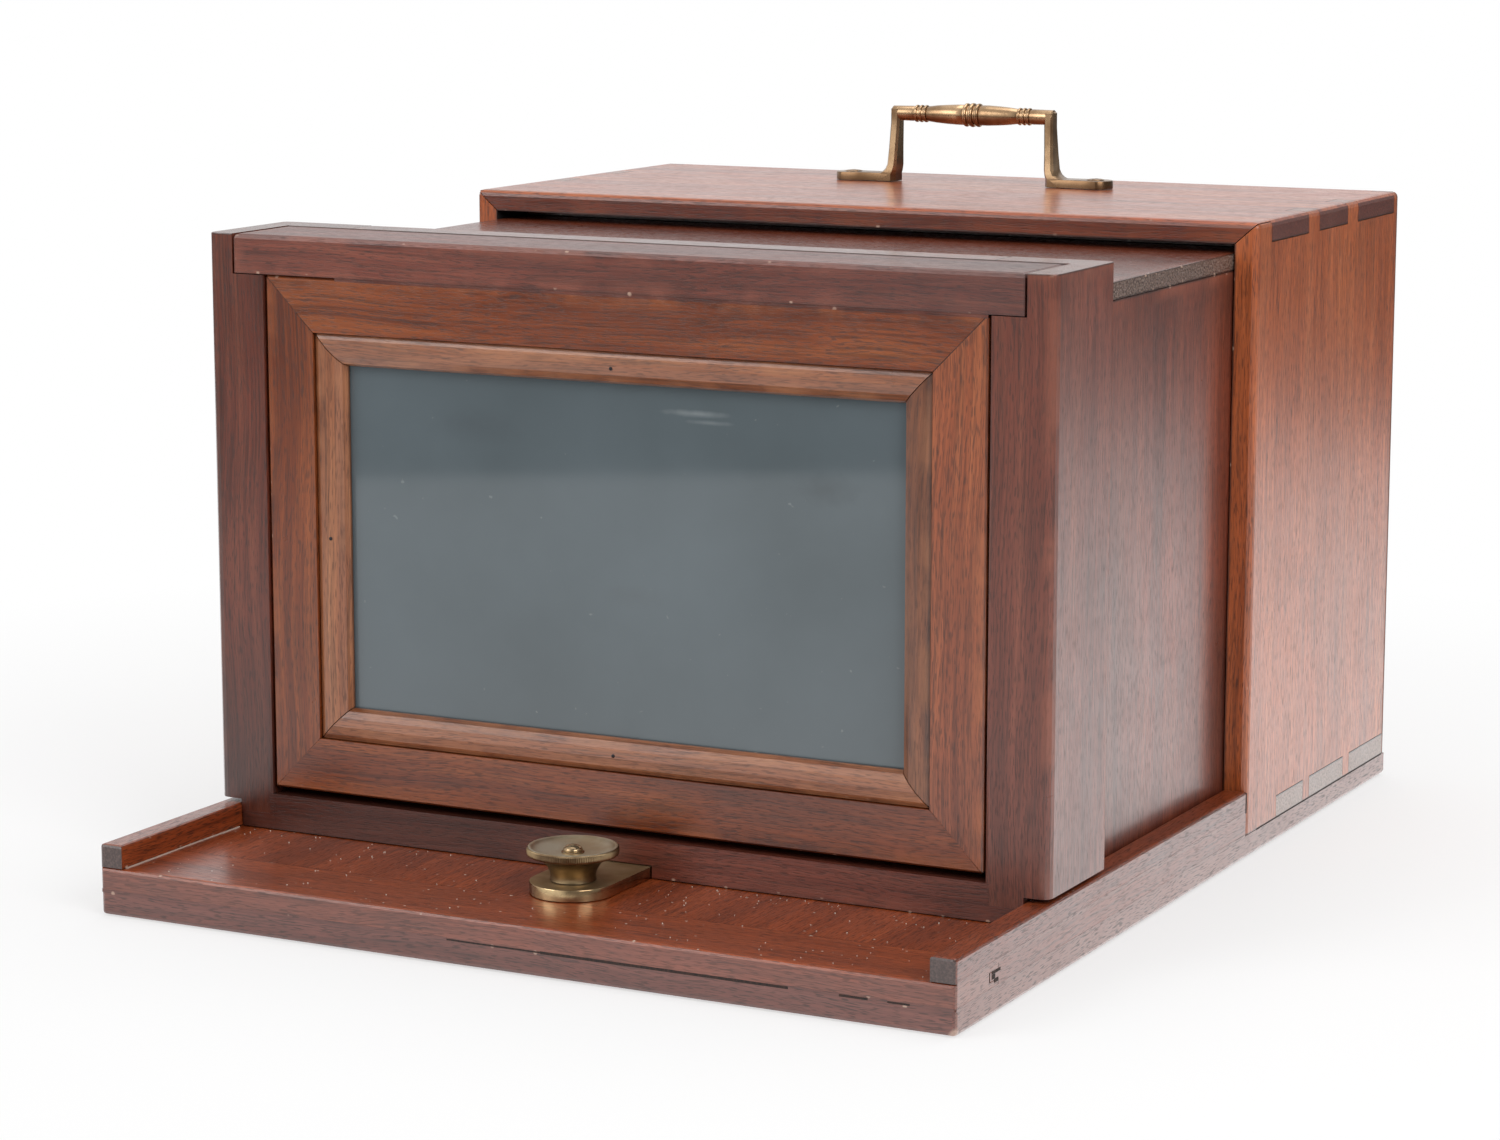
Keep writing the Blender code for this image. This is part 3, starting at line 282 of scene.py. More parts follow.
def clean_wood(tree, normal, noises, strip, tones, age, pores, weathered, turned):
    """Colour along the grain, and a mask of the pores."""
    dark, middle, light = tones
    blend = add(tree, "Mix", {0: 0.42, 2: noises["figure"], 3: noises["band"]})
    wood = add(tree, "ValToRGB", {0: blend}, ((0.33, dark), (0.50, middle), (0.68, light)))
    lines = add(tree, "ValToRGB", {0: noises["streak"]}, ((0.30, 0.48), (0.50, 1.0), (0.70, 1.26)))
    wood = add(tree, "MixRGB", {0: STREAK_SHARE, 1: wood, 2: lines}, blend_type="MULTIPLY")
    aged = add(tree, "ValToRGB", {0: noises["cloud"]}, ((0.36, 0.0), (0.62, age)))
    wood = add(tree, "MixRGB", {0: aged, 1: wood, 2: linear(OLD_POLISH)})
    if weathered is not None:
        # Upright faces have lost their colour more than the top, which lay under the case
        up = add(tree, "SeparateXYZ", {0: normal}).outputs["Z"]
        upright = add(tree, "MapRange", {"Value": up, "From Min": 0.6, "From Max": 0.2, "To Max": 0.8})
        faded = add(tree, "MixRGB", {0: STREAK_SHARE, 1: linear(weathered), 2: lines}, blend_type="MULTIPLY")
        wood = add(tree, "MixRGB", {0: upright, 1: wood, 2: faded})
    if strip is not None:
        part = add(tree, "Math", {0: strip, 1: 0.7}, operation="MULTIPLY")
        wood = add(tree, "MixRGB", {0: part, 1: wood, 2: linear(turned)})
    flecks = add(tree, "ValToRGB", {0: noises["pore"]}, ((0.55, 0.0), (0.68, pores)))
    return add(tree, "MixRGB", {0: flecks, 1: wood, 2: linear(PORE_DIRT)}), flecks


# %% Distance to the nearest edge
def edge_distance(tree, point, low, high):
    """On a face one of the three distances to faces is nought, so the next larger one is to an edge."""
    from_low = add(tree, "VectorMath", {0: point, 1: tuple(low)}, operation="SUBTRACT")
    from_high = add(tree, "VectorMath", {0: tuple(high), 1: point}, operation="SUBTRACT")
    nearest = add(tree, "VectorMath", {0: from_low, 1: from_high}, operation="MINIMUM")
    x, y, z = add(tree, "SeparateXYZ", {0: nearest}).outputs
    small = add(tree, "Math", {0: x, 1: y}, operation="MINIMUM")
    large = add(tree, "Math", {0: x, 1: y}, operation="MAXIMUM")
    second = add(tree, "Math", {0: large, 1: z}, operation="MINIMUM")
    return add(tree, "Math", {0: small, 1: second}, operation="MAXIMUM")


# %% Wear, end grain and dirt
RUB_MM = 5.0
DOT_MM = 0.7
CLEAN_EDGE_MM = 0.2
EDGE_DIRT_AND_SHADE = "#24110c"
# Painted shade: the tone of the dark band at a front arris
FRONT_SHADE_TONE = "#331c14"
# The band of painted shade at a front arris begins this far behind it, and is full from there on
FRONT_SHADE_FROM = 0.0036
FRONT_SHADE_FULL = 0.0020
AXES = {"X": (1, 0, 0), "Y": (0, 1, 0), "Z": (0, 0, 1)}


def worn_wood(tree, coords, wood, grain, edge, patch, light, rub, end_dark, end_tones, edge_mm, edge_dirt_and_shade):
    """Rubbed edges, end grain with dots for lines, and dirt along the very edge, which is also painted shade
    where edge_mm widens it, as on the glazing beads.
    """
    near_edge = add(tree, "MapRange", {"Value": edge, "From Min": RUB_MM * MM, "From Max": 0.0})
    rubbed = add(tree, "ValToRGB", {0: patch}, ((0.42, 0.0), (0.62, rub)))
    rubbed = add(tree, "Math", {0: near_edge, 1: rubbed}, operation="MULTIPLY")
    wood = add(tree, "MixRGB", {0: rubbed, 1: wood, 2: linear(light)})
    facing = add(tree, "VectorMath", {0: coords.outputs["Normal"], 1: AXES[grain]}, operation="DOT_PRODUCT")
    facing = add(tree, "Math", {0: facing.outputs["Value"]}, operation="ABSOLUTE")
    ends = add(tree, "MapRange", {"Value": facing, "From Min": 0.75, "From Max": 0.9, "To Max": end_dark})
    dots = add(tree, "TexNoise", {"Vector": coords.outputs["Object"], "Scale": 1000 / DOT_MM, "Detail": 1.0})
    dots = add(tree, "ValToRGB", {0: dots}, ((0.40, end_tones[0]), (0.66, end_tones[1])))
    wood = add(tree, "MixRGB", {0: ends, 1: wood, 2: dots})
    on_edge = add(tree, "MapRange", {"Value": edge, "From Min": edge_mm * MM, "From Max": CLEAN_EDGE_MM * MM,
                                     "To Max": edge_dirt_and_shade})
    return add(tree, "MixRGB", {0: on_edge, 1: wood, 2: linear(EDGE_DIRT_AND_SHADE)})


def front_band(tree, coords, front, axis):
    """Mask of the band along the front arris, on the faces that look along an axis."""
    ahead = add(tree, "SeparateXYZ", {0: coords.outputs["Object"]}).outputs["Y"]
    outward = add(tree, "SeparateXYZ", {0: coords.outputs["Normal"]}).outputs[axis]
    outward = add(tree, "Math", {0: outward}, operation="ABSOLUTE")
    ahead = add(tree, "MapRange", {"Value": ahead, "From Min": front - FRONT_SHADE_FROM,
                                   "From Max": front - FRONT_SHADE_FULL, "To Max": 0.85})
    return add(tree, "Math", {0: ahead, 1: outward}, operation="MULTIPLY")


# %% Chips and dust
# Specks of dust are a few hundredths of a millimetre; these are coarser, for the same reason as the pores.
DUST_MM = 3.6
SPECK = 0.120
CHIP_FROM = 0.0009
CHIP_FULL = 0.0006
CHIP = "#c0a08c"
DUST = "#d6c4b4"


def chips_and_dust(tree, coords, wood, edge, dust):
    """Pale chips along the arrises and specks of dust, on some of the cells of an irregular net."""
    net = add(tree, "TexVoronoi", {"Vector": coords.outputs["Object"], "Scale": 1000 / DUST_MM})
    away = net.outputs["Distance"]
    chance = add(tree, "SeparateXYZ", {0: net.outputs["Color"]})
    chip = add(tree, "MapRange", {"Value": edge, "From Min": CHIP_FROM, "From Max": CHIP_FULL, "To Max": 0.7})
    rare = add(tree, "MapRange", {"Value": chance, "From Min": 0.70, "From Max": 0.85})
    wide = add(tree, "MapRange", {"Value": away, "From Min": SPECK * 2.0, "From Max": SPECK})
    chip = add(tree, "Math", {0: chip, 1: rare}, operation="MULTIPLY")
    chip = add(tree, "Math", {0: chip, 1: wide}, operation="MULTIPLY")
    wood = add(tree, "MixRGB", {0: chip, 1: wood, 2: linear(CHIP)})
    if dust > 0:
        speck = add(tree, "MapRange", {"Value": away, "From Min": SPECK, "From Max": SPECK * 0.6})
        chosen = add(tree, "MapRange", {"Value": chance, "From Min": 0.45, "From Max": 0.85, "To Max": dust})
        upward = add(tree, "SeparateXYZ", {0: coords.outputs["Normal"]}).outputs["Z"]
        grit = add(tree, "Math", {0: speck, 1: chosen}, operation="MULTIPLY")
        grit = add(tree, "Math", {0: grit, 1: upward}, operation="MULTIPLY", use_clamp=True)
        wood = add(tree, "MixRGB", {0: grit, 1: wood, 2: linear(DUST)})
    return wood


# %% [markdown]
# ## French-polished mahogany: the boards
# Each board gets its own material: the same recipe with its own grain direction, tone and wear. Shellac
# polish lies over the wood as a thin clear coat, and the open pores break its gloss. Inside, the camera is
# painted matt black. One material for all boards would be quicker, but no two boards look alike.

# %% Mahogany recipe
PATCH_MM = 14.0
RAGGED = 0.012
RELIEF = 0.0002
PORE_ROUGH = 0.22
FRONT_SHADE_ROUGH = 0.95
PAINT_ROUGH = 0.8
BLACK_PAINT = "#141210"


def mahogany(node, grain, tones, seed, rough=0.30, coat=0.35, inside=None, end_dark=0.55,
             end_tones=("#2c1a15", "#56423a"), age=0.15, pores=0.55, dust=0.0, weathered=None,
             edge_dirt_and_shade=0.75, marks=(), turned=None, front_shade=None, rub=0.75, edge_mm=0.7):
    """Warm red brown with a soft gloss. Inside is the way that a painted face looks, turned the colour of a
    strip along the side edges, weathered that of faded upright faces, and front_shade the axis that the
    faces with a dark, matt band of painted shade at the front arris look along. The other amounts run from 0
    to 1."""
    made, tree = new_material("mahogany_" + node)
    coords = add(tree, "TexCoord")
    point, normal = coords.outputs["Object"], coords.outputs["Normal"]
    low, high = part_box(node)
    strip = None
    if turned is not None:
        sideways = add(tree, "Math", {0: add(tree, "SeparateXYZ", {0: normal})}, operation="ABSOLUTE")
        strip = add(tree, "MapRange", {"Value": sideways, "From Min": 0.7, "From Max": 0.8})
    noises = grain_noises(tree, point, grain, seed, strip)
    wood, flecks = clean_wood(tree, normal, noises, strip, tones, age, pores, weathered, turned)
    edge = edge_distance(tree, point, low, high)
    patch = add(tree, "TexNoise", {"Vector": point, "Scale": 1000 / PATCH_MM, "Detail": 4.0})
    wood = worn_wood(tree, coords, wood, grain, edge, patch, tones[2], rub, end_dark, end_tones, edge_mm,
                     edge_dirt_and_shade)
    gloss = add(tree, "MapRange", {"Value": patch, "To Min": rough - 0.06, "To Max": rough + 0.08})
    gloss = add(tree, "Math", {0: flecks, 1: PORE_ROUGH, 2: gloss}, operation="MULTIPLY_ADD")
    if front_shade is not None:
        # Painted shade: a dark, matt band along the front arris. On the head bar it stands for the shadowed
        # gap before the top rail, and on the sides for their dark far edge
        band = front_band(tree, coords, high[1], front_shade)
        wood = add(tree, "MixRGB", {0: band, 1: wood, 2: linear(FRONT_SHADE_TONE)})
        gloss = add(tree, "Mix", {0: band, 2: gloss, 3: FRONT_SHADE_ROUGH})
        coat = add(tree, "Math", {0: band, 1: -coat, 2: coat}, operation="MULTIPLY_ADD")
    for centre, full, gone, tone, amount in marks:
        away = add(tree, "VectorMath", {0: point, 1: centre}, operation="DISTANCE").outputs["Value"]
        away = add(tree, "Math", {0: patch, 1: RAGGED, 2: away}, operation="MULTIPLY_ADD")
        mark = add(tree, "MapRange", {"Value": away, "From Min": gone, "From Max": full, "To Max": amount})
        wood = add(tree, "MixRGB", {0: mark, 1: wood, 2: linear(tone)})
    wood = chips_and_dust(tree, coords, wood, edge, dust)
    relief = add(tree, "Math", {0: flecks, 1: -1.0, 2: noises["streak"]}, operation="MULTIPLY_ADD")
    bump = add(tree, "Bump", {"Height": relief, "Strength": 0.25, "Distance": RELIEF})
    if inside is not None:
        within = add(tree, "VectorMath", {0: normal, 1: inside}, operation="DOT_PRODUCT").outputs["Value"]
        within = add(tree, "MapRange", {"Value": within, "From Min": 0.7, "From Max": 0.8})
        wood = add(tree, "MixRGB", {0: within, 1: wood, 2: linear(BLACK_PAINT)})
        gloss = add(tree, "Mix", {0: within, 2: gloss, 3: PAINT_ROUGH})
    polish = add(tree, "BsdfPrincipled", {"Base Color": wood, "Roughness": gloss, "Normal": bump, "IOR": 1.5,
                                          "Coat Weight": coat, "Coat Roughness": 0.20})
    add(tree, "OutputMaterial", {"Surface": polish})
    return made


# %% Tones and marks
# Dark, middle and light tone of each kind of board
CASE = ("#66260f", "#8f401e", "#a9582f")
BASE = ("#562a20", "#69392f", "#7b4a40")
TOP = ("#7a3216", "#a34d28", "#b9683b")
DECK = ("#7b3515", "#96441e", "#a65028")
RAIL = ("#66290f", "#883c1b", "#9c4b25")
SIDE = ("#94471f", "#ac572b", "#b9673b")
BACK = ("#481e11", "#632d1e", "#79402c")
STILE = ("#5e2a1c", "#763b2b", "#884d39")
SILL = ("#56281c", "#6e372a", "#824838")
HEAD = ("#512418", "#703628", "#864a38")
SLIDE = ("#5e2818", "#7d3a26", "#8e4a32")
# Painted shade: the top of the slide lies under the lip of the case, so it gets darker tones than the rest of
# the slide
SLIDE_TOP_SHADED = ("#4f2011", "#6a2f1b", "#7a3c25")
SCREEN = ("#54210a", "#783714", "#945026")
SCREEN_RIGHT = ("#6a2d14", "#8f4a2a", "#a55e38")
BEAD = ("#6c3a1e", "#905738", "#aa704b")
BEAD_RIGHT = ("#5a3019", "#7c4a30", "#95603f")
# Dots and ground of the end grain
RAIL_END = ("#30221f", "#4e3c38")
SLIDE_END = ("#43352f", "#85756b")
TAIL_END = ("#45201a", "#713c30")
FLOOR_END = ("#6c594f", "#99867a")
FADED = "#6b4138"
FADED_TOP = "#562012"
STRIP = "#875a4d"
# Painted shade: the tone that darkens the sill and the feet of the stiles towards the deck
PAINTED_SHADE_TONE = "#1c100c"
# Marks: middle, distances at which the mark is full and gone, colour and strength
KNOCKED = ((0.145, -0.185, 0.0), 0.0066, 0.0078, "#c9ab9a", 0.6)
# Painted shade at the foot of the back: the left part of the sill and the feet of both stiles darken towards
# the deck
SILL_SHADE = ((-0.112, -0.120, 0.021), 0.075, 0.130, PAINTED_SHADE_TONE, 0.55)
LEFT_FOOT_SHADE = ((-0.128, -0.120, 0.020), 0.022, 0.070, PAINTED_SHADE_TONE, 0.40)
RIGHT_FOOT_SHADE = ((0.116, -0.120, 0.020), 0.018, 0.050, PAINTED_SHADE_TONE, 0.30)
HEAD_GRIME = ((0.135, -0.120, 0.200), 0.030, 0.110, "#33282a", 0.45)
print("tones and marks noted")

# %% Mahogany on every board
DECK_WEAR = {"dust": 1.0, "weathered": FADED, "edge_dirt_and_shade": 0.1, "rub": 0.1}
RAIL_WEAR = {"end_dark": 0.95, "end_tones": RAIL_END, "edge_dirt_and_shade": 0.2, "pores": 0.7, "rub": 0.15}
# Painted shade: a dark band along the front edge of each side
SIDE_WEAR_AND_SHADE = {"front_shade": "X", "rub": 0.3}
# On the beads the dark edge is widened: dirt in the joint with the frame, and painted shade there
BEAD_PORES_AND_SHADE = {"pores": 0.45, "edge_mm": 1.1}
PAINTED_FRONT = {"inside": (0, 1, 0)}
BOARDS = (
    ("base_board", "X", BASE,
     {"end_dark": 0.0, "edge_dirt_and_shade": 0.1, "marks": [KNOCKED], "pores": 0.75, "turned": STRIP, "rub": 0.3}),
    ("deck_end", "X", DECK, {**DECK_WEAR, "end_dark": 0.0, "turned": STRIP}),
    ("deck_panel", "Y", DECK, DECK_WEAR),
    ("rail_left", "Y", RAIL, RAIL_WEAR),
    ("rail_right", "Y", RAIL, {**RAIL_WEAR, "weathered": FADED}),
    ("outer_top", "X", TOP,
     {"weathered": FADED_TOP, "inside": (0, 0, -1), "coat": 0.3, "end_dark": 0.85, "end_tones": TAIL_END,
      "rub": 0.2}),
    ("outer_floor", "X", CASE, {"inside": (0, 0, 1), "end_dark": 0.9, "end_tones": FLOOR_END}),
    ("outer_side_left", "Z", SIDE, {**SIDE_WEAR_AND_SHADE, "inside": (1, 0, 0)}),
    ("outer_side_right", "Z", SIDE, {**SIDE_WEAR_AND_SHADE, "inside": (-1, 0, 0)}),
    ("outer_front", "X", CASE, {"inside": (0, -1, 0)}),
    ("lens_board", "X", CASE, {"end_dark": 0.3}),
    # Painted shade: the top of the slide takes the darker tones
    ("inner_top", "X", SLIDE_TOP_SHADED,
     {"inside": (0, 0, -1), "end_dark": 0.9, "end_tones": SLIDE_END, "dust": 0.5, "rough": 0.22,
      "coat": 0.0}),
    ("inner_floor", "X", SLIDE, {"inside": (0, 0, 1)}),
    ("inner_side_left", "Z", SLIDE, {"inside": (1, 0, 0), "age": 0.5}),
    ("inner_side_right", "Z", SLIDE, {"inside": (-1, 0, 0), "age": 0.5}),
    ("light_trap", "X", SLIDE, {}),
    # The marks on the stiles and on the sill below are painted shade
    ("back_stile_left", "Z", BACK, {"end_dark": 0.3, "age": 0.35, "marks": [LEFT_FOOT_SHADE]}),
    ("back_stile_right", "Z", STILE, {"end_dark": 0.3, "age": 0.3, "coat": 0.25, "marks": [RIGHT_FOOT_SHADE]}),
    ("back_bottom_rail", "X", SILL, {"age": 0.35, "edge_dirt_and_shade": 0.3, "coat": 0.1, "marks": [SILL_SHADE]}),
    ("back_top_rail", "X", BACK, {"age": 0.5}),
    # Painted shade: a dark band at the front of the head bar's top, for the shadowed gap before the top rail
    ("head_bar", "X", HEAD,
     {"end_dark": 0.3, "rough": 0.40, "coat": 0.15, "age": 0.35, "edge_dirt_and_shade": 0.35, "front_shade": "Z",
      "marks": [HEAD_GRIME]}),
    ("screen_left", "Z", SCREEN, PAINTED_FRONT),
    ("screen_right", "Z", SCREEN_RIGHT, PAINTED_FRONT),
    ("screen_top", "X", SCREEN, PAINTED_FRONT),
    ("screen_bottom", "X", SCREEN, PAINTED_FRONT),
    ("screen_tongue_left", "Z", SCREEN, {}),
    ("screen_tongue_right", "Z", SCREEN, {}),
    ("bead_left", "Z", BEAD, BEAD_PORES_AND_SHADE),
    ("bead_right", "Z", BEAD_RIGHT, BEAD_PORES_AND_SHADE),
    ("bead_top", "X", BEAD, BEAD_PORES_AND_SHADE),
    ("bead_bottom", "X", BEAD, BEAD_PORES_AND_SHADE))
# The stiles are held in the hand, so their arrises are worn rounder. Mitred and glued edges stay sharp.
WORN_STILE = 0.0009
WORN_BOARD = 0.0004
for number, (name, grain, tones, wear) in enumerate(BOARDS):
    finish_node(name, mahogany(name, grain, tones, number + 1, **wear))
    if name.startswith(("screen", "bead", "base", "deck")):
        continue
    arris = nodes[name].modifiers.new("worn_arris", "BEVEL")
    arris.width = WORN_STILE if "stile" in name else WORN_BOARD
    arris.segments = 2
    arris.limit_method = "ANGLE"
    arris.angle_limit = math.radians(50)
    arris.harden_normals = True
print("mahogany on", len(BOARDS), "boards")

# %% [markdown]
# ## Ground glass
# The pane is polished on the side that faces the photographer and finely ground on the other. From behind
# it looks an even slate grey, with a clear reflection over it, a few smears and some dust. Light that is
# scattered in real glass takes long to work out, so a grey under a glossy skin stands for it.

# %% Ground glass
HAZE_MM = 70.0
LINT_MM = 2.4
SMEAR_MM = 3.8
GROUND_ROUGH = 0.75
PANE_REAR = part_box("ground_glass")[0][1]
# Each smear: middle across and up, half width and half height, colour and strength
SMEARS = (((0.026, 0.1585), (0.013, 0.0012), "#8d9496", 0.55),
          ((0.031, 0.1560), (0.009, 0.0008), "#8d9496", 0.40),
          ((0.070, 0.1385), (0.012, 0.0055), "#474d50", 0.45),
          ((-0.050, 0.1500), (0.020, 0.0060), "#50565a", 0.30),
          ((0.005, 0.1010), (0.012, 0.0040), "#5a6063", 0.30))
ground, tree = new_material("ground_glass")
coords = add(tree, "TexCoord")
spot = coords.outputs["Object"]
haze = add(tree, "TexNoise", {"Vector": spot, "Scale": 1000 / HAZE_MM, "Detail": 4.0})
lint = add(tree, "TexNoise", {"Vector": spot, "Scale": 1000 / LINT_MM, "Detail": 1.0})
wiped = add(tree, "TexNoise", {"Vector": spot, "Scale": 1000 / SMEAR_MM, "Detail": 3.0})
slate = add(tree, "ValToRGB", {0: haze}, ((0.30, "#565f63"), (0.70, "#616b70")))
for (x, z), (half_wide, half_high), tone, amount in SMEARS:
    moved = add(tree, "VectorMath", {0: spot, 1: (x, PANE_REAR, z)}, operation="SUBTRACT")
    squeezed = add(tree, "VectorMath", {0: moved, 1: (1 / half_wide, 1.0, 1 / half_high)},
                   operation="MULTIPLY")
    away = add(tree, "VectorMath", {0: squeezed}, operation="LENGTH").outputs["Value"]
    ragged = add(tree, "Math", {0: wiped, 1: 0.9, 2: away}, operation="MULTIPLY_ADD")
    smear = add(tree, "MapRange", {"Value": ragged, "From Min": 1.5, "From Max": 0.5, "To Max": amount})
    slate = add(tree, "MixRGB", {0: smear, 1: slate, 2: linear(tone)})
specks = add(tree, "ValToRGB", {0: lint}, ((0.78, 0.0), (0.84, 0.30)))
slate = add(tree, "MixRGB", {0: specks, 1: slate, 2: linear("#9aa0a2")})
gloss = add(tree, "MapRange", {"Value": haze, "To Min": 0.02, "To Max": 0.07})
lensward = add(tree, "SeparateXYZ", {0: coords.outputs["Normal"]}).outputs["Y"]
gloss = add(tree, "Mix", {0: lensward, 2: gloss, 3: GROUND_ROUGH}, clamp_factor=True)
pane = add(tree, "BsdfPrincipled", {"Base Color": slate, "Roughness": gloss, "IOR": 1.52})
add(tree, "OutputMaterial", {"Surface": pane})
finish_node("ground_glass", ground)
print("ground glass with", len(SMEARS), "smears")


# %% [markdown]
# ## Aged brass
# Old lacquered brass is dull yellow brown, darker where hands and damp have worked on it, with a little
# verdigris and dust where it lies flat; on the knob's dish that pale tone is also painted highlight.
# Verdigris could be a second, dull material under a mask, but so thin a bloom leaves the metal a metal, so
# only colour and roughness change.

# %% Brass recipe
TARNISH_MM = 11.0
PIT_MM = 1.1
PIT_DEPTH = 0.0001
BLOOM_ROUGH = 0.52
BLACKED_ROUGH = 0.55
CORNER_GRIME = "#5a3f2a"
LENS_BLACK = "#17130f"


def brass(name, light, dull, rough, settled=None, bore=None, grimy=None):
    """Clouded metal. Settled holds the tones of faces that look up: a dull film, which on the knob's dish is
    also painted highlight. Bore is a point on the axis of a blackened tube along Y, and grimy the heights at
    which grime begins and is full."""
    made, tree = new_material(name)
    coords = add(tree, "TexCoord")
    point, normal = coords.outputs["Object"], coords.outputs["Normal"]
    cloud = add(tree, "TexNoise", {"Vector": point, "Scale": 1000 / TARNISH_MM, "Detail": 5.0})
    fine = add(tree, "TexNoise", {"Vector": point, "Scale": 1000 / PIT_MM, "Detail": 2.0})
    metal = add(tree, "ValToRGB", {0: cloud}, ((0.34, dull), (0.62, light)))
    gloss = add(tree, "MapRange", {"Value": cloud, "To Min": rough + 0.12, "To Max": rough - 0.06})
    if settled is not None:
        up = add(tree, "SeparateXYZ", {0: normal}).outputs["Z"]
        lying = add(tree, "MapRange", {"Value": up, "From Min": 0.75, "From Max": 0.95})
        # Faces that look up take the pale tones; on the knob's dish these are also painted highlight
        bloom = add(tree, "ValToRGB", {0: cloud}, ((0.38, settled[0]), (0.64, settled[1])))
        metal = add(tree, "MixRGB", {0: lying, 1: metal, 2: bloom})
        gloss = add(tree, "Mix", {0: lying, 2: gloss, 3: BLOOM_ROUGH})
    if grimy is not None:
        # Close to the wood no polishing cloth gets in, and old polish turns brown
        height = add(tree, "SeparateXYZ", {0: point}).outputs["Z"]
        grime = add(tree, "MapRange", {"Value": height, "From Min": grimy[0], "From Max": grimy[1],
                                       "To Max": 0.75})
        metal = add(tree, "MixRGB", {0: grime, 1: metal, 2: linear(CORNER_GRIME)})
    if bore is not None:
        # A wall that faces the axis is one whose normal points against its own spoke
        spoke = add(tree, "VectorMath", {0: point, 1: tuple(bore)}, operation="SUBTRACT")
        spoke = add(tree, "VectorMath", {0: spoke, 1: (1.0, 0.0, 1.0)}, operation="MULTIPLY")
        inward = add(tree, "VectorMath", {0: spoke, 1: normal}, operation="DOT_PRODUCT").outputs["Value"]
        black = add(tree, "MapRange", {"Value": inward, "From Min": -0.004, "From Max": -0.012})
        metal = add(tree, "MixRGB", {0: black, 1: metal, 2: linear(LENS_BLACK)})
        gloss = add(tree, "Mix", {0: black, 2: gloss, 3: BLACKED_ROUGH})
    bump = add(tree, "Bump", {"Height": fine, "Strength": 0.12, "Distance": PIT_DEPTH})
    shader = add(tree, "BsdfPrincipled", {"Base Color": metal, "Roughness": gloss, "Metallic": 1.0,
                                          "Normal": bump})
    add(tree, "OutputMaterial", {"Surface": shader})
    return made


# %% Brass and steel of the fittings
board_low, board_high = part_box("lens_board")
LENS = Vector((0.0, board_high[1], (board_low[2] + board_high[2]) / 2))
# Cast and handled: dull, with brown corners at the feet
HANDLE_BRASS = brass("handle_brass", "#bd9d7a", "#82664b", 0.25, grimy=(0.2128, 0.2108))
# Turned and never polished: darkest of all, with a pale bloom in the dish that is also painted highlight
KNOB_BRASS = brass("knob_brass", "#907b5d", "#5c4836", 0.30, ("#bcab8e", "#cfcbb8"))
# Rubbed by the knob at every use: the brightest
TONGUE_BRASS = brass("tongue_brass", "#cfb489", "#94795a", 0.16, ("#a88f69", "#bfa883"))
LOCK_BRASS = brass("lock_brass", "#b39c7c", "#846b4e", 0.22)
# Lacquered, so even and yellow, and blackened inside
LENS_BRASS = brass("lens_brass", "#b79a60", "#a98c56", 0.22, bore=LENS)
# Blued steel: near black with a cold sheen
STEEL = brass("blued_steel", "#3a3c42", "#2b2724", 0.40)
for name in ("tripod_bush", "clamp_nut", "lens_ring"):
    finish_node(name, KNOB_BRASS)
for name in ("clamp_stud", "lens_stop"):
    finish_node(name, STEEL)
print("brass and steel mixed")

# %% [markdown]
# ## Turned brass
# The knob, the grip and the lens mount come off a lathe, so each is one outline spun about its axis, which
# gives rounder beads than stacked cylinders would. A round bead in an outline is written as a short arc.
# Finished pieces stay at the origin, with their place in their vertices, and ride on their solid's body.


# %% Lathe
def bead(radius, height, size, steps=6):
    """Half-round bead of the given half width that stands on a radius, from its high side down."""
    turns = [math.pi * i / steps for i in range(steps + 1)]
    return [(radius + size * math.sin(t), height + size * math.cos(t)) for t in turns]


def lathe(bm, outline, centre, axis, steps):
    """Spin an outline of radius and height, and lay its axis along X, Y or Z through the centre."""
    verts = [bm.verts.new((r, 0.0, h)) for r, h in outline]
    edges = [bm.edges.new(pair) for pair in zip(verts, verts[1:])]
    before = set(bm.verts) - set(verts)
    bmesh.ops.spin(bm, geom=verts + edges, cent=(0, 0, 0), axis=(0, 0, 1), angle=2 * math.pi, steps=steps,
                   use_merge=True)
    made = [v for v in bm.verts if v not in before]
    turn = {"X": Matrix.Rotation(math.pi / 2, 4, "Y"), "Y": Matrix.Rotation(-math.pi / 2, 4, "X"),
            "Z": Matrix.Identity(4)}[axis]
    bmesh.ops.transform(bm, matrix=Matrix.Translation(centre) @ turn, verts=made)
    return made


# %% Hand a piece over
MERGE = 1e-7
TOUCH = 1e-6


def hand_over(name, bm, finish, body, instead=(), crease=34):
    """Make the object, in place of the solids that it models again, on the body that it moves with."""
    bmesh.ops.remove_doubles(bm, verts=bm.verts, dist=MERGE)
    bmesh.ops.recalc_face_normals(bm, faces=bm.faces)
    mesh = bpy.data.meshes.new(name)
    bm.to_mesh(mesh)
    bm.free()
    mesh.materials.append(finish)
    for face in mesh.polygons:
        face.use_smooth = True
    mesh.set_sharp_from_angle(angle=math.radians(crease))
    made = bpy.data.objects.new(name, mesh)
    bpy.context.scene.collection.objects.link(made)
    if instead:
        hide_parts(*instead)
    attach(made, body)
    print(name, len(mesh.polygons), "faces")


# %% Screw heads and extrusions
def raise_face(bm, face, rise):
    """Extrude one face upwards and give back the risen vertices."""
    raised = bmesh.ops.extrude_face_region(bm, geom=[face])
    risen = [v for v in raised["geom"] if isinstance(v, bmesh.types.BMVert)]
    bmesh.ops.translate(bm, verts=risen, vec=(0, 0, rise))
    return risen


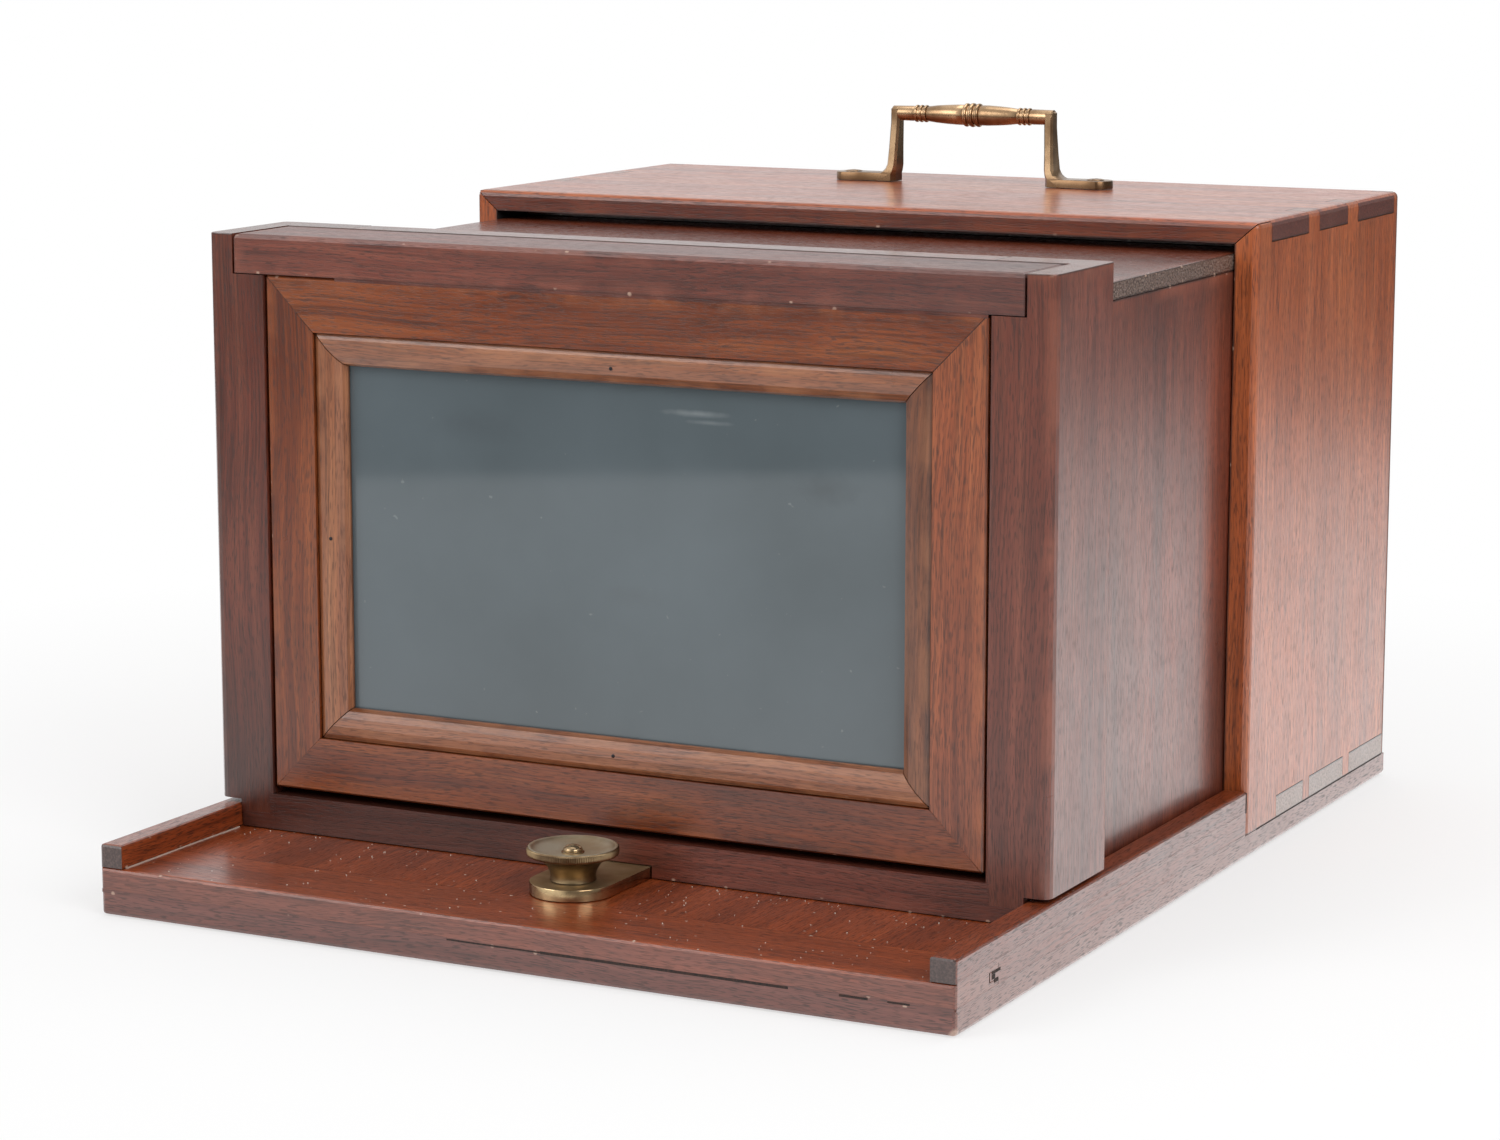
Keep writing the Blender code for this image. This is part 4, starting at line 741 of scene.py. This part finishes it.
def slotted_head(bm, radius, rise, centre, axis="Z", turn=0.0):
    """Screw head: a low dome with a sawn slot across it."""
    dome = [(0.0, rise)]
    dome += [(radius * math.sin(t), rise * math.cos(t)) for t in (0.35, 0.7, 1.0, 1.25, 1.45)]
    dome += [(radius, 0.0), (radius, -0.4 * rise), (0.0, -0.4 * rise)]
    head = bmesh.new()
    lathe(head, dome, (0, 0, 0), "Z", 32)
    half = radius * 0.14
    for side in (1, -1):
        geom = head.verts[:] + head.edges[:] + head.faces[:]
        bmesh.ops.bisect_plane(head, geom=geom, plane_co=(0, side * half, 0), plane_no=(0, side, 0),
                               dist=MERGE)
    strip = [f for f in head.faces if abs(f.calc_center_median().y) < half and f.normal.z > 0.2]
    sunk = bmesh.ops.extrude_face_region(head, geom=strip)
    for vert in (v for v in sunk["geom"] if isinstance(v, bmesh.types.BMVert)):
        vert.co.z = min(vert.co.z, 0.25 * rise)
    way = {"Z": Matrix.Identity(4), "Y": Matrix.Rotation(-math.pi / 2, 4, "X")}[axis]
    place = Matrix.Translation(centre) @ way @ Matrix.Rotation(turn, 4, "Z")
    bmesh.ops.transform(head, matrix=place, verts=head.verts)
    spare = bpy.data.meshes.new("head")
    head.to_mesh(spare)
    head.free()
    bm.from_mesh(spare)
    bpy.data.meshes.remove(spare)


# %% [markdown]
# ## Focus clamp
# The thumb knob is a thin dished disc on a waisted neck. Its rim was rolled against a knurling wheel: a
# hundred and sixty fine ridges, made here by drawing the rim's vertices in by turns, since cutting so many
# notches would be slow. A round-headed screw locks it to the stud. The tongue is filed from plate.

# %% Clamp knob
knob_low, knob_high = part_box("clamp_knob")
KNOB = Vector((0.0, (knob_low[1] + knob_high[1]) / 2, 0.0))
KNOB_RISE = knob_high[2]
RIDGES = 160
RIDGE_DEPTH = 0.016
KNURLED_FROM = 0.01385
# Outline from the middle of the dish over the rim and down the neck: radius, and height below the rim
dish = [(0.0, -0.0022), (0.0040, -0.0021), (0.0070, -0.0018), (0.0098, -0.0013), (0.0116, -0.0008),
        (0.0125, -0.0003), (0.0129, -0.00005), (0.0133, 0.0)]
rim = [(0.0136, -0.0001), (0.0139, -0.0004), (0.0140, -0.0008), (0.0140, -0.0012), (0.0140, -0.0016),
       (0.0140, -0.0020), (0.0139, -0.0024), (0.0136, -0.0026)]
neck = [(0.0131, -0.0028), (0.0121, -0.0031), (0.0108, -0.0036), (0.0096, -0.0043), (0.0086, -0.0052),
        (0.0078, -0.0063), (0.0072, -0.0076), (0.0069, -0.0088), (0.0070, -0.0099), (0.0071, -0.0103),
        (0.0, -0.0103)]
bm = bmesh.new()
for vert in lathe(bm, [(r, KNOB_RISE + h) for r, h in dish + rim + neck], KNOB, "Z", RIDGES * 4):
    arm = vert.co - KNOB
    if arm.xy.length > KNURLED_FROM:
        ridge = 0.5 + 0.5 * math.cos(RIDGES * math.atan2(arm.y, arm.x))
        arm.xy *= 1 - RIDGE_DEPTH * ridge
        vert.co = KNOB + arm
hand_over("turned_knob", bm, KNOB_BRASS, "clamp_knob", ("clamp_knob",), crease=50)

# %% Locking screw
# A screw head is noted by its radius and the rise of its dome
LOCK_HEAD = (0.0030, 0.0018)
LOCK_SUNK = 0.0014
bm = bmesh.new()
slotted_head(bm, *LOCK_HEAD, KNOB + Vector((0, 0, KNOB_RISE - LOCK_SUNK)), turn=0.35)
washer = [(0.0, -0.0016), (0.0032, -0.0016), (0.0035, -0.0018), (0.0035, -0.0024), (0.0, -0.0024)]
lathe(bm, [(r, KNOB_RISE + h) for r, h in washer], KNOB, "Z", 32)
hand_over("lock_screw", bm, LOCK_BRASS, "clamp_knob", ("knob_screw",))

# %% Tongue plate
FILED_EDGE = 0.00045
low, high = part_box("tongue_plate")
half = (high[0] - low[0]) / 2
bm = bmesh.new()
plan = [(KNOB.x + half * math.cos(t), KNOB.y + half * math.sin(t))
        for t in (math.pi + math.pi * i / 48 for i in range(49))]
plan += [(half, high[1]), (-half, high[1])]
raise_face(bm, bm.faces.new([bm.verts.new((x, y, low[2])) for x, y in plan]), high[2] - low[2])
bmesh.ops.recalc_face_normals(bm, faces=bm.faces)
top_edges = [e for e in bm.edges if all(abs(v.co.z - high[2]) < TOUCH for v in e.verts) and
             not all(abs(v.co.y - high[1]) < TOUCH for v in e.verts)]
bmesh.ops.bevel(bm, geom=top_edges, offset=FILED_EDGE, offset_type="OFFSET", affect="EDGES", segments=2,
                profile=0.5, material=-1)
hand_over("filed_tongue", bm, TONGUE_BRASS, "inner_box", ("tongue_plate",))

# %% [markdown]
# ## Carrying handle
# One brass casting: a turned grip with three groups of rings, two tapered legs with chamfered edges and two
# flat feet with rounded ends. A subdivided cage would round everything, but the casting was filed, so its
# arrises are soft and straight: the legs are bridged from eight-sided rings and the feet are bevelled.

# %% Grip
GRIP = Vector((0.0, 0.145, 0.2325))
HALF_SPAN = 0.0315
end_run = [(0.0026, HALF_SPAN - 0.0005), (0.0027, 0.0233)]
for at in (0.0218, 0.0200, 0.0182):
    end_run += bead(0.0025, at, 0.0006)
end_run += [(0.0027, 0.0172), (0.0031, 0.0140), (0.0034, 0.0100), (0.0036, 0.0060), (0.0036, 0.0034)]
end_run += bead(0.0034, 0.0023, 0.0008) + [(0.0034, 0.00125)]
grip = end_run + bead(0.0034, 0.0, 0.0009) + [(r, -h) for r, h in reversed(end_run)]
grip = [(0.0, grip[0][1])] + grip + [(0.0, grip[-1][1])]
handle = bmesh.new()
lathe(handle, grip, GRIP, "X", 48)
print("grip", len(handle.faces), "faces")

# %% Legs
SOLE = 0.2083
FOOT_THICK = 0.0028
FOOT_TOP = SOLE + FOOT_THICK
LEG_IN = 0.0017
# Up a leg: height, shift outwards, half width across the grip and half width along it
STATIONS = ((SOLE, 0.0026, 0.0045, 0.0033), (FOOT_TOP, 0.0026, 0.0044, 0.0033),
            (0.2117, 0.0018, 0.0043, 0.0026), (0.2126, 0.0012, 0.0042, 0.0021),
            (0.2142, 0.0007, 0.0040, 0.0018), (0.2200, 0.0004, 0.0034, 0.0017),
            (0.2290, 0.0000, 0.0027, 0.0017), (0.2340, 0.0000, 0.0026, 0.0017),
            (0.2346, 0.0000, 0.0021, 0.0012))
for side in (-1, 1):
    rings = []
    for z, shift, half_y, half_x in STATIONS:
        middle = side * (HALF_SPAN - LEG_IN + shift)
        cut_x, cut_y = half_x * 0.42, half_x * 0.55
        corners = ((half_x - cut_x, half_y), (half_x, half_y - cut_y), (half_x, cut_y - half_y),
                   (half_x - cut_x, -half_y), (cut_x - half_x, -half_y), (-half_x, cut_y - half_y),
                   (-half_x, half_y - cut_y), (cut_x - half_x, half_y))
        ring = [handle.verts.new((middle + x, GRIP.y + y, z)) for x, y in corners]
        rings.append([handle.edges.new(pair) for pair in zip(ring, ring[1:] + ring[:1])])
    for lower, upper in zip(rings, rings[1:]):
        bmesh.ops.bridge_loops(handle, edges=lower + upper)
    bmesh.ops.holes_fill(handle, edges=rings[0] + rings[-1], sides=8)
print("legs of", len(STATIONS), "rings each")

# %% Feet and their screws
EYE = HALF_SPAN + 0.0156
EYE_RADIUS = 0.0062
HEEL = HALF_SPAN - 0.0005
WAIST = EYE - 0.0045
CAST_EDGE = 0.0004
FOOT_HEAD = (0.0031, 0.0005)
for side in (-1, 1):
    plan = [(side * (EYE + EYE_RADIUS * math.cos(t)), EYE_RADIUS * math.sin(t))
            for t in (math.radians(-70 + 140 * i / 24) for i in range(25))]
    plan += [(side * WAIST, 0.0047), (side * HEEL, 0.0044), (side * HEEL, -0.0044), (side * WAIST, -0.0047)]
    sole = handle.faces.new([handle.verts.new((x, GRIP.y + y, SOLE)) for x, y in plan])
    risen = raise_face(handle, sole, FOOT_THICK)
    top_edges = [e for e in handle.edges if all(v in risen for v in e.verts) and len(e.link_faces) == 2
                 and e.calc_face_angle(0) > 0.5]
    bmesh.ops.bevel(handle, geom=top_edges, offset=CAST_EDGE, offset_type="OFFSET", affect="EDGES",
                    segments=2, profile=0.5, material=-1)
hand_over("cast_handle", handle, HANDLE_BRASS, "camera_base", ("handle",))
bm = bmesh.new()
for side in (-1, 1):
    slotted_head(bm, *FOOT_HEAD, (side * EYE, GRIP.y, FOOT_TOP + 0.0001), turn=0.5 + side)
hand_over("handle_screws", bm, HANDLE_BRASS, "camera_base")

# %% [markdown]
# ## Lens
# The front of the camera faces away, so a plain view lens of the time stands there: a flange with three
# screws, a lacquered tube with score lines and a bead, a sliding hood and a push-on cap. All are turned, so
# each is an outline of radius and distance before the lens board. The metal inside is blackened.

# %% Outlines of the lens
flange = [(0.0288, 0.0034), (0.0330, 0.0036), (0.0336, 0.0028), (0.0400, 0.0024), (0.0416, 0.0018),
          (0.0420, 0.0008), (0.0420, 0.0002), (0.0288, 0.0002)]
barrel = [(0.0262, 0.0400), (0.0277, 0.0400), (0.0280, 0.0397), (0.0280, 0.0300), (0.0277, 0.0297),
          (0.0280, 0.0294), (0.0280, 0.0170), (0.0277, 0.0167), (0.0280, 0.0164), (0.0280, 0.0101),
          (0.0300, 0.0099)] + bead(0.0305, 0.0080, 0.0015)
barrel += [(0.0300, 0.0063), (0.0280, 0.0061), (0.0280, -0.0140), (0.0228, -0.0140), (0.0228, -0.0120),
           (0.0258, -0.0120), (0.0258, 0.0396)]
hood = [(0.0297, 0.0643), (0.0311, 0.0643), (0.0315, 0.0639), (0.0315, 0.0440), (0.0312, 0.0437),
        (0.0315, 0.0434), (0.0315, 0.0382), (0.0312, 0.0379), (0.0315, 0.0376)] + bead(0.0315, 0.0332, 0.0012)
hood += [(0.0312, 0.0320), (0.0283, 0.0320), (0.0283, 0.0403), (0.0258, 0.0403), (0.0258, 0.0425),
         (0.0293, 0.0425), (0.0293, 0.0639)]
cap = [(0.0, 0.0660), (0.0236, 0.0660), (0.0240, 0.0657), (0.0244, 0.0660), (0.0318, 0.0660),
       (0.0327, 0.0657), (0.0332, 0.0651), (0.0333, 0.0643)] + bead(0.0330, 0.0498, 0.0012)
cap += [(0.0320, 0.0486), (0.0319, 0.0488), (0.0319, 0.0646), (0.0, 0.0646)]
print("outlines of", [len(outline) for outline in (flange, barrel, hood, cap)], "points")

# %% Flange, tube, hood and cap
for name, node, body, outline in (("flange_ring", "lens_flange", "camera_base", flange + flange[:1]),
                                  ("lens_tube", "lens_barrel", "camera_base", barrel + barrel[:1]),
                                  ("sliding_hood", "lens_hood", "camera_base", hood + hood[:1]),
                                  ("push_cap", "lens_cap", "lens_cap", cap)):
    bm = bmesh.new()
    lathe(bm, outline, LENS, "Y", 96)
    hand_over(name, bm, LENS_BRASS, body, (node,))

# %% Lens glass and screws
FLANGE_SCREWS = 0.0372
FLANGE_HEAD = (0.0024, 0.0007)
FLANGE_FACE = 0.0026
BOARD_SCREWS = 0.055
BOARD_HEAD = (0.0026, 0.0007)
# Polished crown glass: clear, with a faint green cast and sharp reflections
crown, tree = new_material("crown_glass")
clear = add(tree, "BsdfPrincipled", {"Base Color": linear("#f4f8f4"), "Roughness": 0.02, "IOR": 1.52,
                                     "Transmission Weight": 1.0})
add(tree, "OutputMaterial", {"Surface": clear})
finish_node("lens_glass", crown)
bm = bmesh.new()
for i in range(3):
    spoke = math.radians(90 + 120 * i)
    place = LENS + Vector((FLANGE_SCREWS * math.cos(spoke), FLANGE_FACE, FLANGE_SCREWS * math.sin(spoke)))
    slotted_head(bm, *FLANGE_HEAD, place, "Y", turn=0.7 * i)
for x in (-BOARD_SCREWS, BOARD_SCREWS):
    for z in (-BOARD_SCREWS, BOARD_SCREWS):
        slotted_head(bm, *BOARD_HEAD, LENS + Vector((x, 0.0001, z)), "Y", turn=12 * x + 9 * z)
hand_over("lens_screws", bm, LENS_BRASS, "camera_base")

# %% [markdown]
# ## Bead pins
# The glazing bead is held by fine pins, driven at the middle of three of its lengths. They show as small
# dark heads, so a flattened ball for each is enough.

# %% Pins
PIN_RADIUS = 0.0006
bm = bmesh.new()
for name in ("bead_left", "bead_top", "bead_bottom"):
    low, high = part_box(name)
    head = Matrix.Translation(((low[0] + high[0]) / 2, low[1] + 0.0001, (low[2] + high[2]) / 2))
    bmesh.ops.create_uvsphere(bm, u_segments=16, v_segments=8, radius=PIN_RADIUS,
                              matrix=head @ Matrix.Diagonal((1, 0.35, 1, 1)))
hand_over("bead_pins", bm, STEEL, "focusing_screen")

# %% [markdown]
# ## Glue lines
# The layers of the base, the joints of the back and the mitres of the screen are glued tight, so they hardly
# show. The solids need small gaps between them, which would show as dark lines. Moving the boards would
# spoil the model, so thin fillets of wood close the gaps. Only part of the rear glue line has opened. Along
# each side, under the case, a thin dark strip is painted shade.

# %% Closed lines of the base
SKIN = 0.00004
FILLET_DEEP = 0.002
LINE_UNDER = 0.0005
LINE_OVER = 0.0006
END_IN = 0.0005
# Where the rear glue line has opened: start, end and half the width of the opening
OPENED = ((-0.020, 0.012, 0.00024), (0.012, 0.093, 0.00042), (0.109, 0.118, 0.00036), (0.124, 0.131, 0.00030))


def sliver(bm, low, high):
    """A thin block between two corners."""
    middle = (Vector(low) + Vector(high)) / 2
    size = Vector(high) - Vector(low)
    bmesh.ops.create_cube(bm, size=1.0, matrix=Matrix.Translation(middle) @ Matrix.Diagonal((*size, 1.0)))


base_low, base_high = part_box("base_board")
deck_low, deck_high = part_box("deck_end")
rail_low, rail_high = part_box("rail_right")
layer = (base_high[2] + deck_low[2]) / 2
tread = (deck_high[2] + rail_low[2]) / 2
rear = base_low[1] - SKIN
rear_in = base_low[1] + FILLET_DEEP
SIDE_FACES = [sorted((side * (base_high[0] + SKIN), side * (base_high[0] - FILLET_DEEP))) for side in (-1, 1)]
turns = [base_low[0] + END_IN] + [x for run in OPENED for x in run[:2]] + [base_high[0] - END_IN]
bm = bmesh.new()
for start, end in zip(turns[::2], turns[1::2]):
    if end > start:
        sliver(bm, (start, rear, layer - LINE_UNDER), (end, rear_in, layer + LINE_OVER))
for left, right in SIDE_FACES:
    end = rail_high[1] - END_IN
    sliver(bm, (left, base_low[1] + END_IN, layer - LINE_UNDER), (right, end, layer + LINE_OVER))
    sliver(bm, (left, rail_low[1] + 0.0008, tread - LINE_OVER), (right, end, tread + LINE_OVER))
hand_over("base_glue_lines", bm, nodes["base_board"].data.materials[0], "camera_base")

# %% Opened glue line
# Dried hide glue with dirt in it: a dull, crumbly, nearly black brown. It also colours the strip of painted
# shade under the case.
old_glue_and_shade, tree = new_material("old_glue_and_shade")
crumbs = add(tree, "TexNoise", {"Vector": add(tree, "TexCoord").outputs["Object"], "Scale": 1000 / PIT_MM,
                                "Detail": 2.0})
brown = add(tree, "ValToRGB", {0: crumbs}, ((0.35, "#140c09"), (0.70, "#38231b")))
dry = add(tree, "BsdfPrincipled", {"Base Color": brown, "Roughness": 0.85})
add(tree, "OutputMaterial", {"Surface": dry})
case_low, case_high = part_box("outer_side_right")
bm = bmesh.new()
for start, end, half in OPENED:
    sliver(bm, (start, rear, layer - half), (end, rear_in, layer + half))
# A hooked crack near the right rear corner: start, end, lower and upper height
for start, end, under, over in ((-0.1606, -0.1545, 0.0120, 0.0129), (-0.1606, -0.1582, 0.0105, 0.0119),
                                (-0.1590, -0.1560, 0.0092, 0.0104)):
    sliver(bm, (base_high[0] - FILLET_DEEP, start, under), (base_high[0] + SKIN, end, over))
# Along each side: first a strip of painted shade under the case, then the dark joint at the front end of the
# rail
for left, right in SIDE_FACES:
    sliver(bm, (left, case_low[1] + 0.010, layer - 0.0002), (right, case_high[1] - 0.003, layer + 0.0003))
    sliver(bm, (left, rail_high[1] - 0.0004, rail_low[2]),
           (right, rail_high[1] + 0.0006, rail_high[2] - 0.0006))
hand_over("open_glue_and_shade_lines", bm, old_glue_and_shade, "camera_base")

# %% Joints of the bottom rail with the stiles
JOINT_DEEP = 0.0014
stile_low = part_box("back_stile_right")[0]
sill_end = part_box("back_bottom_rail")[1][0] - 0.0004
inner_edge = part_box("screen_right")[1][0] + 0.0008
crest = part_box("screen_bottom")[0][2] - 0.0026
joint_rear = stile_low[1] - SKIN
joint_in = stile_low[1] + JOINT_DEEP
sill_wood = nodes["back_bottom_rail"].data.materials[0]
for side, word in ((-1, "left"), (1, "right")):
    bm = bmesh.new()
    left, right = sorted((side * (inner_edge - 0.0006), side * (inner_edge + 0.0014)))
    sliver(bm, (left, joint_rear, stile_low[2] + 0.00103), (right, joint_in, crest))
    left, right = sorted((side * (inner_edge - 0.0006), side * sill_end))
    sliver(bm, (left, joint_rear, stile_low[2] - 0.0008), (right, joint_in, stile_low[2] + 0.0010))
    hand_over("sill_joint_" + word, bm, sill_wood, "inner_box")

# %% Mitres and head of the screen
MITRE_THICK = 0.00034
MITRE_SHORT = 0.0014
left_low, left_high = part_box("screen_left")
right_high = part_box("screen_right")[1]
pane_low, pane_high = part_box("bead_top")
pane_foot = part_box("bead_bottom")[0][2]
screen_deep = left_high[1] - left_low[1]
bm = bmesh.new()
for outer_x, inner_x in ((left_low[0], pane_low[0]), (right_high[0], pane_high[0])):
    for outer_z, inner_z in ((left_low[2], pane_foot), (left_high[2], pane_high[2])):
        inner = Vector((inner_x, 0.0, inner_z))
        outer = Vector((outer_x, 0.0, outer_z))
        run = outer - inner
        turn = Matrix.Rotation(-math.atan2(run.z, run.x), 4, "Y")
        middle = (inner + outer) / 2 + Vector((0.0, left_low[1] + screen_deep / 2, 0.0))
        size = Matrix.Diagonal((run.length - MITRE_SHORT, screen_deep - 2 * SKIN, MITRE_THICK, 1.0))
        bmesh.ops.create_cube(bm, size=1.0, matrix=Matrix.Translation(middle) @ turn @ size)
screen_wood = nodes["screen_bottom"].data.materials[0]
hand_over("mitre_glue_lines", bm, screen_wood, "focusing_screen")

HEAD_LINE_START = -0.098
bar_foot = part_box("head_bar")[0][2]
bm = bmesh.new()
sliver(bm, (HEAD_LINE_START, left_low[1] - SKIN, left_high[2] - 0.0006),
       (right_high[0], left_low[1] + JOINT_DEEP, bar_foot + 0.0001))
hand_over("head_glue_line", bm, sill_wood, "focusing_screen")

# %% [markdown]
# ## Dust
# Dust lies on the open part of the deck in single grains, and a pale, matt line runs in the corner against
# the left rail. Grains are modelled, because flat spots vanish at so low an angle of view.

# %% Dust
GRAINS = 150
# The tongue and the knob stand on this part of the deck, so no grain lies there
TONGUE_CLEAR = 0.022
BEHIND_KNOB = -0.166
# Dry lint and skin: a matt, warm pale grey
dust_grey, tree = new_material("house_dust")
pale = add(tree, "BsdfPrincipled", {"Base Color": linear("#c3b0a3"), "Roughness": 0.9})
add(tree, "OutputMaterial", {"Surface": pale})
inner_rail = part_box("rail_left")[1][0]
deck_face = deck_high[2]
bm = bmesh.new()
# A pale, matt line in the corner against the left rail, in three lengths
for start, end, width in ((-0.1830, -0.1600, 0.0005), (-0.1600, -0.1320, 0.0003), (-0.1320, -0.1220, 0.0006)):
    sliver(bm, (inner_rail - 0.0001, start, deck_face - 0.0001),
           (inner_rail + width, end, deck_face + 0.0003))
draw = random.Random(11)
for _ in range(GRAINS):
    x = draw.uniform(-0.134, 0.134)
    y = -0.122 - 0.060 * draw.random() ** 1.6
    size = draw.uniform(0.00012, 0.00028)
    if abs(x) > TONGUE_CLEAR or y < BEHIND_KNOB:
        bmesh.ops.create_icosphere(bm, subdivisions=1, radius=size,
                                   matrix=Matrix.Translation((x, y, deck_face + size / 2)))
hand_over("settled_dust", bm, dust_grey, "camera_base")
